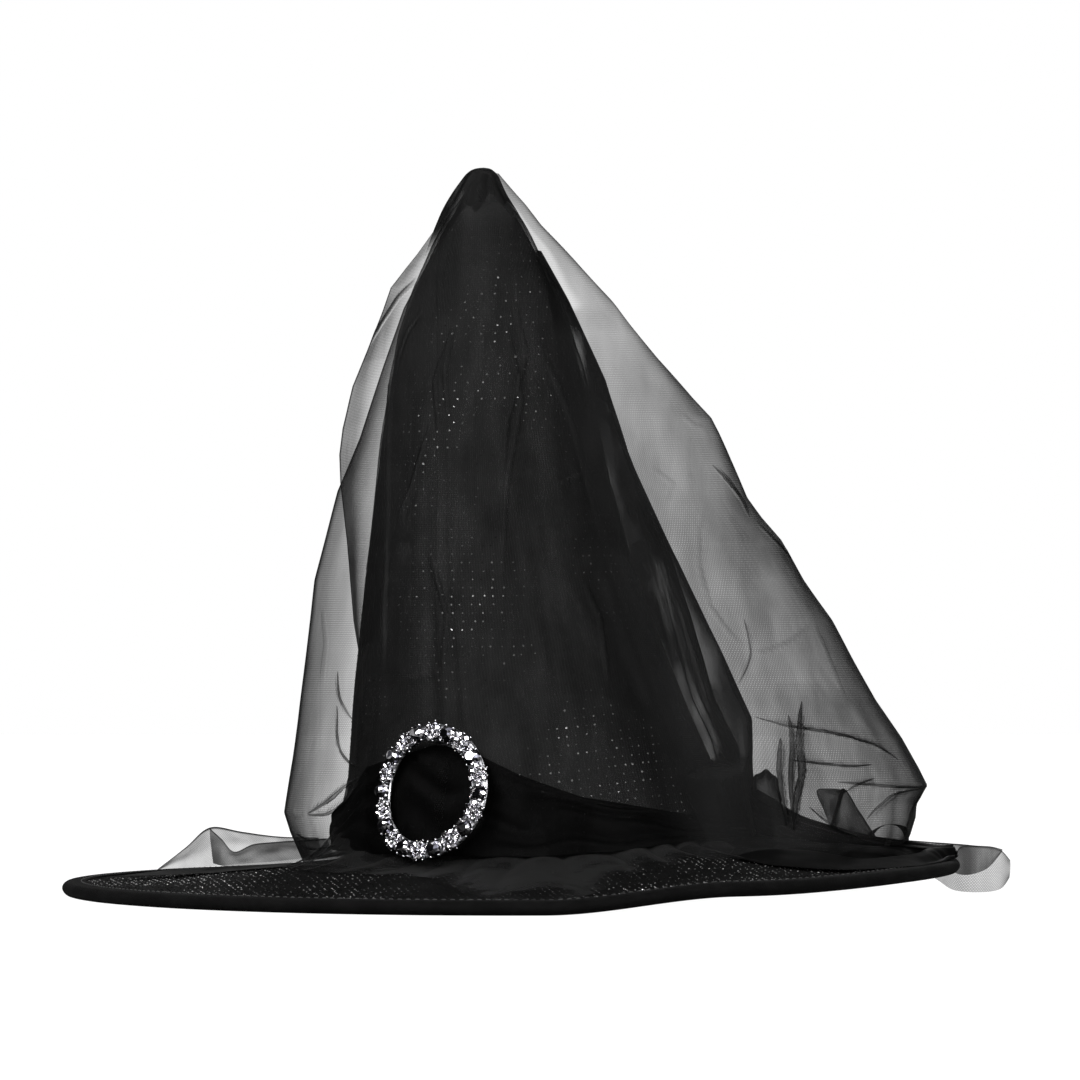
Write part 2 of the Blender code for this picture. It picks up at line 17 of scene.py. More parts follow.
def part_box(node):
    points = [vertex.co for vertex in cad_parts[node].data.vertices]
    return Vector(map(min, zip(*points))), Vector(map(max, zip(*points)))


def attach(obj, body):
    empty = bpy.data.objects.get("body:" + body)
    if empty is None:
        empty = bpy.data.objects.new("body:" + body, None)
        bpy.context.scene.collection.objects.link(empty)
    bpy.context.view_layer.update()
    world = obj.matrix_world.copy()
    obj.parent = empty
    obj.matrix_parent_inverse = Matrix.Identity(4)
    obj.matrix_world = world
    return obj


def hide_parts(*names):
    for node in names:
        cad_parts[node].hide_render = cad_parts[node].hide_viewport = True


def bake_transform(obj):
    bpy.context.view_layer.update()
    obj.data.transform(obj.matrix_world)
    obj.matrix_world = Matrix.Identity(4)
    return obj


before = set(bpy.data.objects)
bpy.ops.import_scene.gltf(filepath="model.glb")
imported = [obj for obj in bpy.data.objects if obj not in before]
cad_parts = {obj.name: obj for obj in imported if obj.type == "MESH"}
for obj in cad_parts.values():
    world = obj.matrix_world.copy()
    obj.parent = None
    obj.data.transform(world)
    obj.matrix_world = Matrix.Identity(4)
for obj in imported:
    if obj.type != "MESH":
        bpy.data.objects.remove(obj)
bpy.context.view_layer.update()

MM = 0.001
TURN = 2 * pi

# Places and sizes read from the frame.
TAPE_LOW, TAPE_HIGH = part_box("brim_edge_tape")
BAND_LOW, BAND_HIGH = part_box("sweatband")
KNOT_LOW, KNOT_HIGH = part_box("peak_knot")
TIE_LOW, TIE_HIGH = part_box("sash_knot")
SASH_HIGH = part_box("sash_band")[1]

BRIM_RADIUS = (TAPE_HIGH[1] - TAPE_LOW[1]) / 2
BRIM_X = TAPE_LOW[0] + BRIM_RADIUS
CROWN_X = (BAND_LOW[0] + BAND_HIGH[0]) / 2
CROWN_RADIUS = (BAND_HIGH[0] - BAND_LOW[0]) / 2 + 2.2 * MM
PEAK_X = (KNOT_LOW[0] + KNOT_HIGH[0]) / 2
PEAK_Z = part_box("crown_shell")[1][2]
PEAK_RADIUS = 3.0 * MM

# The layers of the brim, as in the frame.
TAPE_HEIGHT = 6.0 * MM
TAPE_WIDTH = 10.0 * MM
TAPE_WALL = 0.7 * MM
BRIM_TOP = 5.1 * MM
BRIM_RISE = 8.0 * MM
FLAT_EDGE = 0.11
OPENING_RADIUS = CROWN_RADIUS - 1.4 * MM
LAYER_SETBACK = 6.0 * MM
CROWN_WALL = 0.8 * MM
CROWN_FOOT = BRIM_TOP + BRIM_RISE + CROWN_WALL + 0.3 * MM
SEAM_WIDTH = 8.0 * MM


# ---------------------------------------------------------------- small maths


def smooth(low, high, value):
    t = min(1.0, max(0.0, (value - low) / (high - low)))
    return t * t * (3 - 2 * t)


def mix(a, b, t):
    return a + (b - a) * t


def bump_at(centre, width, value):
    return exp(-(((value - centre) / width) ** 2))


def on_outline(points, value):
    """The second coordinate of a polyline at this first coordinate."""
    for (x0, y0), (x1, y1) in zip(points, points[1:]):
        if value <= x1:
            return mix(y0, y1, (value - x0) / (x1 - x0))
    return points[-1][1]


def on_bezier(a, b, c, d, t):
    return a * (1 - t) ** 3 + b * (3 * t * (1 - t) ** 2) + c * (3 * t * t * (1 - t)) + d * t**3


def on_curve(points, t):
    """A point on a smooth curve through these points."""
    last = len(points) - 1
    i = min(last - 1, int(t * last))
    s = t * last - i
    a, b, c, d = (points[max(0, min(last, k))] for k in (i - 1, i, i + 1, i + 2))
    return 0.5 * ((2 * b) + (c - a) * s + (2 * a - 5 * b + 4 * c - d) * s**2 + (3 * b - a - 3 * c + d) * s**3)


def ripple(x, y, z, scale, seed=0.0):
    """Smooth noise from about -1 to 1, with this feature size."""
    return noise.noise(Vector((x / scale + seed, y / scale - seed, z / scale + 2 * seed)))


def away_from_line(x, z, points):
    """How far a place is from a polyline in the x-z plane, and how far along it, from 0 to 1."""
    best = (1.0, 0.0)
    for i, ((x0, z0), (x1, z1)) in enumerate(zip(points, points[1:])):
        dx, dz = x1 - x0, z1 - z0
        t = max(0.0, min(1.0, ((x - x0) * dx + (z - z0) * dz) / (dx * dx + dz * dz)))
        far = hypot(x - x0 - dx * t, z - z0 - dz * t)
        if far < best[0]:
            best = (far, (i + t) / (len(points) - 1))
    return best


def creases_at(x, z, creases):
    """The sum of sharp ridges at a place. A crease is its points, half-width and height, all in mm."""
    total = 0.0
    for points, width, height in creases:
        reach = 3 * width
        spans = zip((x / MM, z / MM), zip(*points))
        if not all(min(span) - reach < value < max(span) + reach for value, span in spans):
            continue
        far, along = away_from_line(x / MM, z / MM, points)
        fade = smooth(0.0, 0.25, along) * smooth(1.0, 0.75, along) * 0.9 + 0.1
        total += height * MM * fade * exp(-((far / width) ** 2))
    return total


# ---------------------------------------------------------------- the hat's two surfaces


def brim_lift(x):
    """The brim is flat on the floor on the left and springs up on the right."""
    from_middle = x - BRIM_X
    first = 6.5 * MM * smooth(15 * MM, 92 * MM, from_middle)
    return first + 3.4 * MM * smooth(100 * MM, BRIM_RADIUS, from_middle)


def brim_rise(share):
    return BRIM_RISE * smooth(FLAT_EDGE, 1.0, 1 - share)


def brim_point(angle, share, z, setback=LAYER_SETBACK):
    outer = BRIM_RADIUS - setback
    x = mix(CROWN_X + OPENING_RADIUS * cos(angle), BRIM_X + outer * cos(angle), share)
    y = mix(OPENING_RADIUS, outer, share) * sin(angle)
    return Vector((x, y, z + brim_rise(share) + brim_lift(x)))


def brim_share(x, y):
    """How far out a place on the brim is, from 0 at the crown to 1 at the edge tape."""
    shift = BRIM_X - CROWN_X
    widen = BRIM_RADIUS - LAYER_SETBACK - OPENING_RADIUS
    x -= CROWN_X
    a = widen**2 - shift**2
    b = x * shift + OPENING_RADIUS * widen
    c = x * x + y * y - OPENING_RADIUS**2
    return (max(0.0, b * b + a * c) ** 0.5 - b) / a


def brim_height(x, y):
    """The height of the brim's upper face under this place."""
    return BRIM_TOP + brim_rise(min(1.0, max(0.0, brim_share(x, y)))) + brim_lift(x)


def press(share):
    """How much the soft crown is pressed flat at this share of the way down from its peak."""
    return (share / 0.25 * exp(1 - share / 0.25)) ** 1.6 * (1 - share * share)


def crown_half_width(share):
    return PEAK_RADIUS + (CROWN_RADIUS - PEAK_RADIUS) * (share + 0.15 * press(share))


def crown_half_depth(share):
    return PEAK_RADIUS + (CROWN_RADIUS - PEAK_RADIUS) * share * (1 - 0.38 * press(share))


def crown_middle(share):
    return mix(PEAK_X, CROWN_X, share**2.6)


def crown_foot(angle):
    return CROWN_FOOT + brim_lift(CROWN_X + CROWN_RADIUS * cos(angle))


def crown_point(angle, share, offset=0.0):
    x = crown_middle(share) + (crown_half_width(share) + offset) * cos(angle)
    y = (crown_half_depth(share) + offset) * sin(angle)
    return Vector((x, y, mix(PEAK_Z + 2 * offset, crown_foot(angle), share)))


def share_at(z, angle):
    return (PEAK_Z - z) / (PEAK_Z - crown_foot(angle))


# ---------------------------------------------------------------- meshes


def mesh_from_grid(name, point, columns, rows, closed=False, size=(1.0, 1.0)):
    """A sheet of quads through point(u, v), with UVs in metres of cloth.

    point may also give how much extra net is gathered there, which is kept for the net's material. Along
    creases this extra cover is painted shade.
    """
    around = columns if closed else columns + 1
    places, gathers = [], []
    for row in range(rows + 1):
        for col in range(around):
            made = point(col / columns, row / rows)
            place, gather = made if isinstance(made, tuple) else (made, 0.0)
            places.append(place)
            gathers.append(gather)
    faces, corners = [], []
    for row in range(rows):
        for col in range(columns):
            here, after = row * around + col, row * around + (col + 1) % around
            faces.append((here, here + around, after + around, after))
            corners += [(col, row), (col, row + 1), (col + 1, row + 1), (col + 1, row)]
    data = mesh_from_faces(name, places, faces)
    flat = [part for c, r in corners for part in (c / columns * size[0], 1 - r / rows * size[1])]
    data.uv_layers.new(name="cloth").data.foreach_set("uv", flat)
    data.attributes.new("gather", "FLOAT", "POINT").data.foreach_set("value", gathers)
    return data


def mesh_from_faces(name, places, faces):
    data = bpy.data.meshes.new(name)
    data.from_pydata(places, [], faces)
    data.shade_smooth()
    return data


def mesh_from_bmesh(name, mesh):
    data = bpy.data.meshes.new(name)
    mesh.to_mesh(data)
    mesh.free()
    return data


def set_uv(data, chart):
    """Gives each corner the UV that chart makes of its vertex's place."""
    layer = data.uv_layers["cloth"].data
    for loop in data.loops:
        layer[loop.index].uv = chart(data.vertices[loop.vertex_index].co)


def add_piece(name, data, finish, body, replaces=()):
    """Links a mesh as a piece that rides on a body and stands for these CAD nodes."""
    obj = bpy.data.objects.new(name, data)
    bpy.context.scene.collection.objects.link(obj)
    data.materials.append(finish)
    if replaces:
        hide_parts(*replaces)
    if body:
        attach(obj, body)
    return obj


def add_net(name, point, grid, finish, nodes=(), body="hat", size=(1.0, 1.0), closed=False):
    """A sheet of net as a piece. grid is its columns and rows, and size is in metres of cloth."""
    data = mesh_from_grid(name, point, *grid, closed, size)
    return add_piece(name, data, finish, body, nodes)


def add_wall(obj, thickness, offset=-1.0):
    wall = obj.modifiers.new("Wall", "SOLIDIFY")
    wall.thickness = thickness
    wall.offset = offset


def round_section(count, radius):
    angles = [TURN * k / count for k in range(count)]
    return [Vector((cos(angle), sin(angle), 0.0)) * radius for angle in angles]


def add_thread(name, strands, radius, sides=6, nodes=()):
    """Round threads through each list of points, as one piece."""
    mesh = bmesh.new()
    for points in strands:
        loops = []
        for i, place in enumerate(points):
            before, after = points[max(0, i - 1)], points[min(len(points) - 1, i + 1)]
            turn = (after - before).to_track_quat("Z", "Y")
            loops.append([mesh.verts.new(place + turn @ rim) for rim in round_section(sides, radius)])
        for lower, upper in zip(loops, loops[1:]):
            for k in range(sides):
                after = (k + 1) % sides
                mesh.faces.new((lower[k], lower[after], upper[after], upper[k]))
        mesh.faces.new(list(reversed(loops[0])))
        mesh.faces.new(loops[-1])
    data = mesh_from_bmesh(name, mesh)
    data.shade_smooth()
    add_piece(name, data, THREAD, "hat", nodes)


# ---------------------------------------------------------------- material nodes


class Nodes:
    """A short way to build a node tree."""

    def __init__(self, tree):
        self.tree = tree

    def feed(self, socket, value):
        if isinstance(value, bpy.types.NodeSocket):
            self.tree.links.new(value, socket)
        else:
            socket.default_value = value

    def node(self, kind, inputs=(), output=0, **settings):
        made = self.tree.nodes.new(kind)
        for key, value in settings.items():
            setattr(made, key, value)
        for key, value in dict(inputs).items():
            self.feed(made.inputs[key], value)
        return made.outputs[output]

    def math(self, operation, a, b=0.0, c=0.0):
        return self.node("ShaderNodeMath", {0: a, 1: b, 2: c}, operation=operation)

    def times(self, *values):
        """The product of several values."""
        return reduce(partial(self.math, "MULTIPLY"), values)

    def vector(self, operation, a, b=(0.0, 0.0, 0.0)):
        output = "Value" if operation in ("DOT_PRODUCT", "LENGTH") else 0
        return self.node("ShaderNodeVectorMath", {0: a, 1: b}, output, operation=operation)

    def split(self, vector, count):
        """The parts of a vector, as separate values."""
        node = self.tree.nodes.new("ShaderNodeSeparateXYZ")
        self.feed(node.inputs[0], vector)
        return [node.outputs[i] for i in range(count)]

    def spread(self, value, low, high, to_low=0.0, to_high=1.0):
        """Maps low..high to to_low..to_high, clamped."""
        inputs = {"Value": value, 1: low, 2: high, 3: to_low, 4: to_high}
        return self.node("ShaderNodeMapRange", inputs, interpolation_type="SMOOTHSTEP")

    def noise(self, vector, scale, detail=3.0):
        inputs = {"Vector": vector, "Scale": scale, "Detail": detail}
        return self.node("ShaderNodeTexNoise", inputs, "Fac")

    def stripes(self, coordinate, pitch):
        """A sine wave from 0 to 1 along a coordinate in metres."""
        wave = self.math("SINE", self.times(coordinate, TURN / pitch))
        return self.math("MULTIPLY_ADD", wave, 0.5, 0.5)


class Cloth(Nodes):
    """A Principled material. A colour is given as its brightness, or as red, green and blue."""

    def __init__(self, name, roughness=0.6, metallic=0.0):
        self.material = bpy.data.materials.new(name)
        self.material.use_nodes = True
        super().__init__(self.material.node_tree)
        self.shader = self.tree.nodes["Principled BSDF"]
        self.set("Roughness", roughness)
        self.set("Metallic", metallic)

    def set(self, name, value):
        self.feed(self.shader.inputs[name], value)

    def cloth_uv(self):
        return self.node("ShaderNodeUVMap", uv_map="cloth")

    def place(self):
        return self.node("ShaderNodeTexCoord", output="Object")

    def colour(self, share, first, second):
        """The base colour, from the first to the second as share goes from 0 to 1."""
        first, second = (tone if isinstance(tone, tuple) else (tone,) * 3 for tone in (first, second))
        inputs = {0: share, 6: (*first, 1.0), 7: (*second, 1.0)}
        self.set("Base Color", self.node("ShaderNodeMix", inputs, 2, data_type="RGBA"))

    def bump(self, height, distance, strength=1.0):
        inputs = {"Height": height, "Distance": distance, "Strength": strength}
        self.set("Normal", self.node("ShaderNodeBump", inputs))


NET_PITCH = 0.95 * MM


def make_tulle(name, density, tint=0.009, weave=0.26, thin_from=None, painted_fold_streaks=0.12):
    """Sheer net. It covers more where it is gathered or seen edge on, and its weave shows close up. The extra
    cover along its creases and its vertical streaks of denser and thinner net are painted shade of folds.
    """
    g = Cloth(name)
    across, down = g.split(g.cloth_uv(), 2)
    slant = g.times(across, 0.87)
    half = g.times(down, 0.5)
    rows = g.stripes(down, NET_PITCH)
    left = g.stripes(g.math("ADD", half, slant), NET_PITCH)
    right = g.stripes(g.math("SUBTRACT", half, slant), NET_PITCH)
    threads = g.spread(g.times(rows, left, right), 0.02, 0.3, 1.0 + weave, 1.0 - weave)
    # Painted shade: long vertical streaks of denser and thinner net stand in for soft folds.
    fall = g.vector("MULTIPLY", g.place(), (70.0, 70.0, 9.0))
    painted_fold_streak = g.spread(g.noise(fall, 1.0, 3.0), 0.3, 0.7, 1.0 - painted_fold_streaks, 1.0 + painted_fold_streaks)
    patchy = g.noise(g.place(), 24.0, 2.0)
    cover = g.times(threads, density, painted_fold_streak, g.spread(patchy, 0.3, 0.7, 0.93, 1.07))
    if thin_from:
        height = g.split(g.place(), 3)[2]
        cover = g.times(cover, g.spread(height, *thin_from, 1.0, 0.66))
    clear = g.math("SUBTRACT", 1.0, g.math("MINIMUM", cover, 0.97))
    normal = g.node("ShaderNodeNewGeometry", output="Normal")
    view = g.node("ShaderNodeNewGeometry", output="Incoming")
    facing = g.math("ABSOLUTE", g.vector("DOT_PRODUCT", normal, view))
    gathered = g.node("ShaderNodeAttribute", output="Fac", attribute_name="gather")
    layers = g.math("DIVIDE", g.math("ADD", gathered, 1.0), g.math("MAXIMUM", facing, 0.12))
    g.set("Alpha", g.math("SUBTRACT", 1.0, g.math("POWER", clear, layers)))
    g.colour(patchy, tint * 0.7, tint * 1.4)
    g.set("Specular IOR Level", min(0.1, tint * 11))
    return g.material


def make_ribbed_cloth(name, rib_pitch, tint):
    """Fine ribbed black cloth. Its faint speckled shimmer, which comes and goes in patches, is painted glint
    of fine glitter in its colour.
    """
    g = Cloth(name, 0.8)
    across, down = g.split(g.cloth_uv(), 2)
    ribs = g.stripes(across, rib_pitch)
    knit = g.stripes(down, rib_pitch * 0.7)
    painted_glint_patch = g.spread(g.noise(g.place(), 15.0, 2.0), 0.42, 0.68)
    # Painted glint: bright specks of glitter in the colour, only inside the patches.
    painted_glint_speckle = g.spread(g.noise(g.cloth_uv(), 1500.0, 1.0), 0.55, 0.75)
    mottle = g.spread(g.noise(g.place(), 60.0, 4.0), 0.3, 0.7, 0.0, 0.25)
    shade = g.math("ADD", g.math("MULTIPLY_ADD", ribs, 0.15, mottle), g.times(painted_glint_speckle, painted_glint_patch, 0.8))
    g.colour(shade, tint * 0.45, tint * 3.2)
    g.set("Specular IOR Level", 0.03)
    g.bump(g.math("MULTIPLY_ADD", knit, 0.4, ribs), 0.2 * MM, 0.8)
    return g.material


def make_glitter(name, rarity, patches):
    """Glued foil dots: most are dull and dark, and a few are as bright as mirrors. Which dots shine is
    painted glint: the few, gathered in patches, get a white colour and a mirror finish, on top of the real
    glints of their tipped facets.
    """
    g = Cloth(name, 0.25)
    spot = g.vector("SNAP", g.place(), (0.0021, 0.0021, 0.0021))
    chance = g.node("ShaderNodeTexWhiteNoise", {"Vector": spot})
    # Painted glint: the patches and each dot's chance pick the dots that get the white colour and the mirror
    # finish.
    painted_glint_patch = g.spread(g.noise(g.place(), 15.0, 2.0), *patches, 0.04, 1.0)
    painted_glint = g.times(g.math("POWER", chance, rarity), painted_glint_patch)
    g.colour(painted_glint, 0.006, 1.0)
    g.set("Metallic", g.times(painted_glint, 0.8))
    g.set("Specular IOR Level", g.times(painted_glint, 0.5))
    g.set("Roughness", g.spread(chance, 0.0, 1.0, 0.4, 0.24))
    return g.material


def make_twill(name, tint, pitch, roughness=0.5, sheen=0.2):
    """Closely woven tape or ribbon with fine slanting ribs and a soft wear in random patches."""
    g = Cloth(name, roughness)
    across, down = g.split(g.cloth_uv(), 2)
    ribs = g.stripes(g.math("MULTIPLY_ADD", down, 0.6, across), pitch)
    worn = g.spread(g.noise(g.place(), 90.0, 5.0), 0.35, 0.7, 0.0, 0.6)
    g.colour(g.math("MULTIPLY_ADD", ribs, 0.4, worn), tint * 0.6, tint * 1.7)
    g.set("Sheen Weight", sheen)
    g.set("Specular IOR Level", min(0.1, tint * 6))
    g.bump(ribs, 0.12 * MM, 0.7)
    return g.material


def make_plain_weave(name, tint, pitch, roughness=0.85, holes=0.0):
    """A coarse plain weave in object space: fibre board, buckram or thread."""
    g = Cloth(name, roughness)
    x, y, z = g.split(g.place(), 3)
    weave = g.math("MAXIMUM", g.stripes(g.math("ADD", x, y), pitch), g.stripes(z, pitch))
    grain = g.noise(g.place(), 300.0, 4.0)
    g.colour(g.times(g.math("ADD", weave, grain), 0.5), tint * 0.5, tint * 1.5)
    if holes:
        g.set("Alpha", g.spread(weave, holes, holes + 0.2))
    g.bump(weave, 0.3 * MM, 0.8)
    return g.material


def make_silver(name, tint=0.78, roughness=0.16):
    """Bright plate, a little darker and rougher in random patches."""
    g = Cloth(name, roughness, 1.0)
    smudge = g.noise(g.place(), 700.0, 4.0)
    dull = g.noise(g.place(), 160.0, 2.0)
    g.colour(dull, (tint * 0.6, tint * 0.6, tint * 0.64), (tint, tint, tint * 1.03))
    g.set("Roughness", g.spread(smudge, 0.3, 0.7, roughness * 0.6, roughness * 1.9))
    g.bump(smudge, 0.05 * MM, 0.6)
    return g.material


def make_stone(name, dark, painted_glint_share):
    """A clear faceted stone on foil: mirror facets, some dark as glass and some bright as foil. Each facet's
    brightness is painted reflection, picked at random for each facet and dimmed in patches as painted fire.
    """
    g = Cloth(name, metallic=1.0)
    normal = g.node("ShaderNodeNewGeometry", output="True Normal")
    facet = g.node("ShaderNodeTexWhiteNoise", {"Vector": normal})
    # Painted reflection: each facet's colour stands in for the light the foil sends back through the stone.
    # The mirror reflections on top are real.
    painted_glint = g.spread(facet, 0.75 - painted_glint_share * 0.6, 0.95 - painted_glint_share * 0.5)
    painted_fire = g.spread(g.noise(g.place(), 900.0, 1.0), 0.2, 0.7, 0.55, 1.0)
    g.colour(g.times(painted_glint, painted_fire), dark, (1.0, 0.98, 1.0))
    g.set("Roughness", g.spread(facet, 0.0, 1.0, 0.02, 0.1))
    g.set("Coat Weight", 1.0)
    g.set("Coat Roughness", 0.02)
    return g.material


# The crown and the brim are one dotted cloth. The brim's copy is given a colour about seven times darker as
# painted shade, against the stronger light that falls on the brim from above.
CROWN_CLOTH = make_ribbed_cloth("crown_dotted_cloth", 1.4 * MM, 0.02)
DARKENED_BRIM_CLOTH = make_ribbed_cloth("brim_dotted_cloth_painted_dark", 1.8 * MM, 0.003)
# The crown's and the brim's foil dots differ only in their painted glint: how many dots shine, and in what
# patches.
CROWN_FOIL = make_glitter("crown_foil_dots", 1.7, (0.46, 0.6))
BRIM_FOIL = make_glitter("brim_foil_dots", 4.5, (0.36, 0.6))
TAPE = make_twill("edge_tape_twill", 0.0045, 0.9 * MM, 0.8, 0.01)
RIBBON = make_twill("sweatband_grosgrain", 0.02, 1.6 * MM, 0.6)
BOARD = make_plain_weave("brim_fibre_board", 0.03, 2.5 * MM)
BUCKRAM = make_plain_weave("crown_buckram", 0.04, 2.0 * MM, 0.85, 0.35)
THREAD = make_plain_weave("black_thread", 0.03, 0.5 * MM, 0.5)
WIRE = make_silver("brim_spring_wire", 0.5, 0.3)
SILVER = make_silver("buckle_silver")
DARK_SILVER = make_silver("buckle_setting", 0.3, 0.22)
STONE = make_stone("foiled_stone", (0.05, 0.05, 0.07), 0.55)
SMALL_STONE = make_stone("small_foiled_stone", (0.12, 0.12, 0.15), 0.9)
# One black net throughout. The fold, gathered, pleated and sash copies get darker colours as painted shade of
# their deep folds, the sash's darkest.
NET = make_tulle("veil_net", 0.48)
NET_LEFT = make_tulle("veil_net_left", 0.3)
NET_STRETCHED = make_tulle("veil_net_stretched", 0.43, thin_from=(0.17, 0.27))
NET_SINGLE = make_tulle("veil_net_single", 0.34)
NET_FRONT = make_tulle("veil_net_front", 0.44, 0.01, painted_fold_streaks=0.45)
NET_FOLD = make_tulle("veil_net_fold", 0.52, 0.007, painted_fold_streaks=0.45)
NET_GATHERED = make_tulle("veil_net_gathered", 0.62, 0.007, 0.15, painted_fold_streaks=0.35)
NET_PLEATED = make_tulle("veil_net_pleated", 0.74, 0.004, 0.15, painted_fold_streaks=0.5)
NET_DENSE = make_tulle("sash_net_gathered", 0.8, 0.0015, 0.08, painted_fold_streaks=0.2)


# ---------------------------------------------------------------- the brim


GRAIN = radians(41)


def on_grain(x, y):
    """A place on the brim in the directions of its cloth, which lies askew."""
    return x * cos(GRAIN) - y * sin(GRAIN), x * sin(GRAIN) + y * cos(GRAIN)


def brim_wave(place):
    """The cloth lies a little unevenly on its board."""
    share = brim_share(place.x, place.y)
    level = smooth(0.98, 0.8, share) * smooth(0.0, 0.1, share)
    return 0.5 * MM * ripple(place.x, place.y, 0.0, 70 * MM) * level


def make_brim_layers():
    top = BRIM_TOP + 0.15 * MM
    layers = (
        ("brim_cloth_top", "brim_top_cover", top, 0.45 * MM, DARKENED_BRIM_CLOTH, "dotted_cloth", 1.0),
        ("brim_board", "brim_core", 4.2 * MM, 2.4 * MM, BOARD, "brim_board", 0.0),
        ("brim_cloth_under", "brim_under_cover", 1.4 * MM, 0.45 * MM, DARKENED_BRIM_CLOTH, "dotted_cloth", 0.4),
    )
    for name, node, height, wall, finish, slot, wave in layers:

        def point(u, v, height=height, wave=wave):
            place = brim_point(TURN * u, v, height)
            place.z += wave * brim_wave(place)
            return place

        data = mesh_from_grid(name, point, 240, 40, closed=True)
        set_uv(data, lambda place: on_grain(place.x, place.y))
        add_wall(add_piece(name, data, finish, "hat", (node,)), wall, -1.0)


DOT_RADIUS = 0.47 * MM
DOT_SIDES = 5


def add_dots(name, places, finish, rise, seed):
    """Foil dots as small raised facets. Each one is tipped its own way, so only some catch a light."""
    chance = Random(seed)
    verts, faces = [], []
    for place, out in places:
        tipped = out + Vector([chance.gauss(0.0, 0.2) for _ in range(3)])
        turn = tipped.to_track_quat("Z", "Y")
        radius = DOT_RADIUS * chance.uniform(0.75, 1.2)
        start = len(verts)
        lean = chance.uniform(0, TURN)
        for k in range(DOT_SIDES):
            around = lean + TURN * k / DOT_SIDES
            verts.append(place + turn @ Vector((radius * cos(around), radius * sin(around), 0.0)))
        verts.append(place + turn @ Vector((0.0, 0.0, rise)))
        top = start + DOT_SIDES
        faces += [(start + k, start + (k + 1) % DOT_SIDES, top) for k in range(DOT_SIDES)]
    data = bpy.data.meshes.new(name)
    data.from_pydata(verts, [], faces)
    add_piece(name, data, finish, "hat")


def make_brim_dots():
    """Staggered rows along the cloth's grain, with some dots lost."""
    pitch = 3.3 * MM
    count = int(BRIM_RADIUS * 1.2 / pitch)
    chance = Random(2)
    places = []
    for i in range(-count, count + 1):
        for j in range(-count, count + 1):
            across = (i + 0.5 * (j % 2) + chance.gauss(0.0, 0.08)) * pitch
            down = (j * 0.87 + chance.gauss(0.0, 0.08)) * pitch
            x, y = on_grain(across, down)
            x += BRIM_X
            inside = hypot(x - BRIM_X, y) < BRIM_RADIUS - TAPE_WIDTH - MM
            if not inside or hypot(x - CROWN_X, y) < OPENING_RADIUS + SEAM_WIDTH + 2 * MM:
                continue
            if chance.random() < 0.2:
                continue
            place = Vector((x, y, brim_height(x, y) + 0.2 * MM))
            place.z += brim_wave(place)
            places.append((place, Vector((0.0, 0.0, 1.0))))
    add_dots("brim_dots", places, BRIM_FOIL, 0.3 * MM, 5)


def tape_section(v):
    """The tape's outer face as (inset from the brim's edge, height): lower lip, nose, upper lip."""
    nose = TAPE_HEIGHT / 2
    lip = TAPE_WIDTH - nose
    if v < 0.25:
        return nose + lip * (1 - v / 0.25), 0.0
    if v > 0.75:
        return nose + lip * (v - 0.75) / 0.25, TAPE_HEIGHT
    angle = mix(-pi / 2, pi / 2, (v - 0.25) / 0.5)
    return nose - nose * cos(angle), nose + nose * sin(angle)


STITCHES = 330


def make_edge_tape():
    def point(u, v):
        inset, z = tape_section(v)
        pucker = 0.14 * MM * sin(TURN * STITCHES * u) * smooth(0.7, 0.95, v)
        roll = 0.25 * MM * ripple(cos(TURN * u), sin(TURN * u), v, 0.12)
        place = brim_point(TURN * u, 1.0, z, setback=inset - roll * sin(pi * v))
        place.z += pucker
        return place

    size = (TURN * BRIM_RADIUS, 22 * MM)
    data = mesh_from_grid("edge_tape", point, 720, 22, closed=True, size=size)
    tape = add_piece("edge_tape", data, TAPE, "hat", ("brim_edge_tape",))
    add_wall(tape, TAPE_WALL, 1.0)
    stitches = []
    for i in range(STITCHES):
        stitch = []
        for part in (0.12, 0.5, 0.88):
            angle = TURN * (i + 0.62 * part) / STITCHES
            place = brim_point(angle, 1.0, TAPE_HEIGHT, TAPE_WIDTH - 1.6 * MM)
            place.z += 0.22 * MM * sin(pi * part) + 0.02 * MM
            stitch.append(place)
        stitches.append(stitch)
    add_thread("edge_stitches", stitches, 0.22 * MM, 5)


# ---------------------------------------------------------------- the crown

# Folds pressed into the crown's front, in mm, as (points, half-width, height).
CROWN_CREASES = (
    (((-46, 150), (-38, 120), (-40, 96)), 8.0, 1.0),
    (((-12, 262), (-6, 235), (-14, 205), (-16, 170)), 7.5, 1.0),
    (((10, 250), (22, 215), (30, 180)), 8.0, 0.9),
    (((18, 140), (26, 120), (30, 90)), 8.0, 0.9),
    (((-35, 250), (-44, 225), (-42, 200)), 7.0, 0.8),
)
CLOTH_FOOT = 0.93


def crown_fold(angle, place):
    """How far the crown's soft cloth stands out here. Never inwards, where the buckram is."""
    soft = 0.9 * MM * (1 + ripple(place.x, place.y, place.z, 34 * MM, 1.3))
    fine = 0.35 * MM * (1 + ripple(place.x * 2.5, place.y * 2.5, place.z, 14 * MM, 5.1))
    front = creases_at(place.x, place.z, CROWN_CREASES) if sin(angle) < 0.2 else 0.0
    return (soft + fine) * 0.6 + front


def crown_cloth_point(angle, share, above=0.0):
    place = crown_point(angle, share)
    out = crown_fold(angle, place) * smooth(0.0, 0.12, share) * smooth(0.97, 0.78, share)
    return crown_point(angle, share, out + above)


def crown_chart(place):
    """The cloth's ribs run down the crown."""
    share = max(0.0, min(1.0, share_at(place.z, pi)))
    across = atan2(place.x - crown_middle(share), -place.y) * crown_half_width(share)
    return across, PEAK_Z - place.z


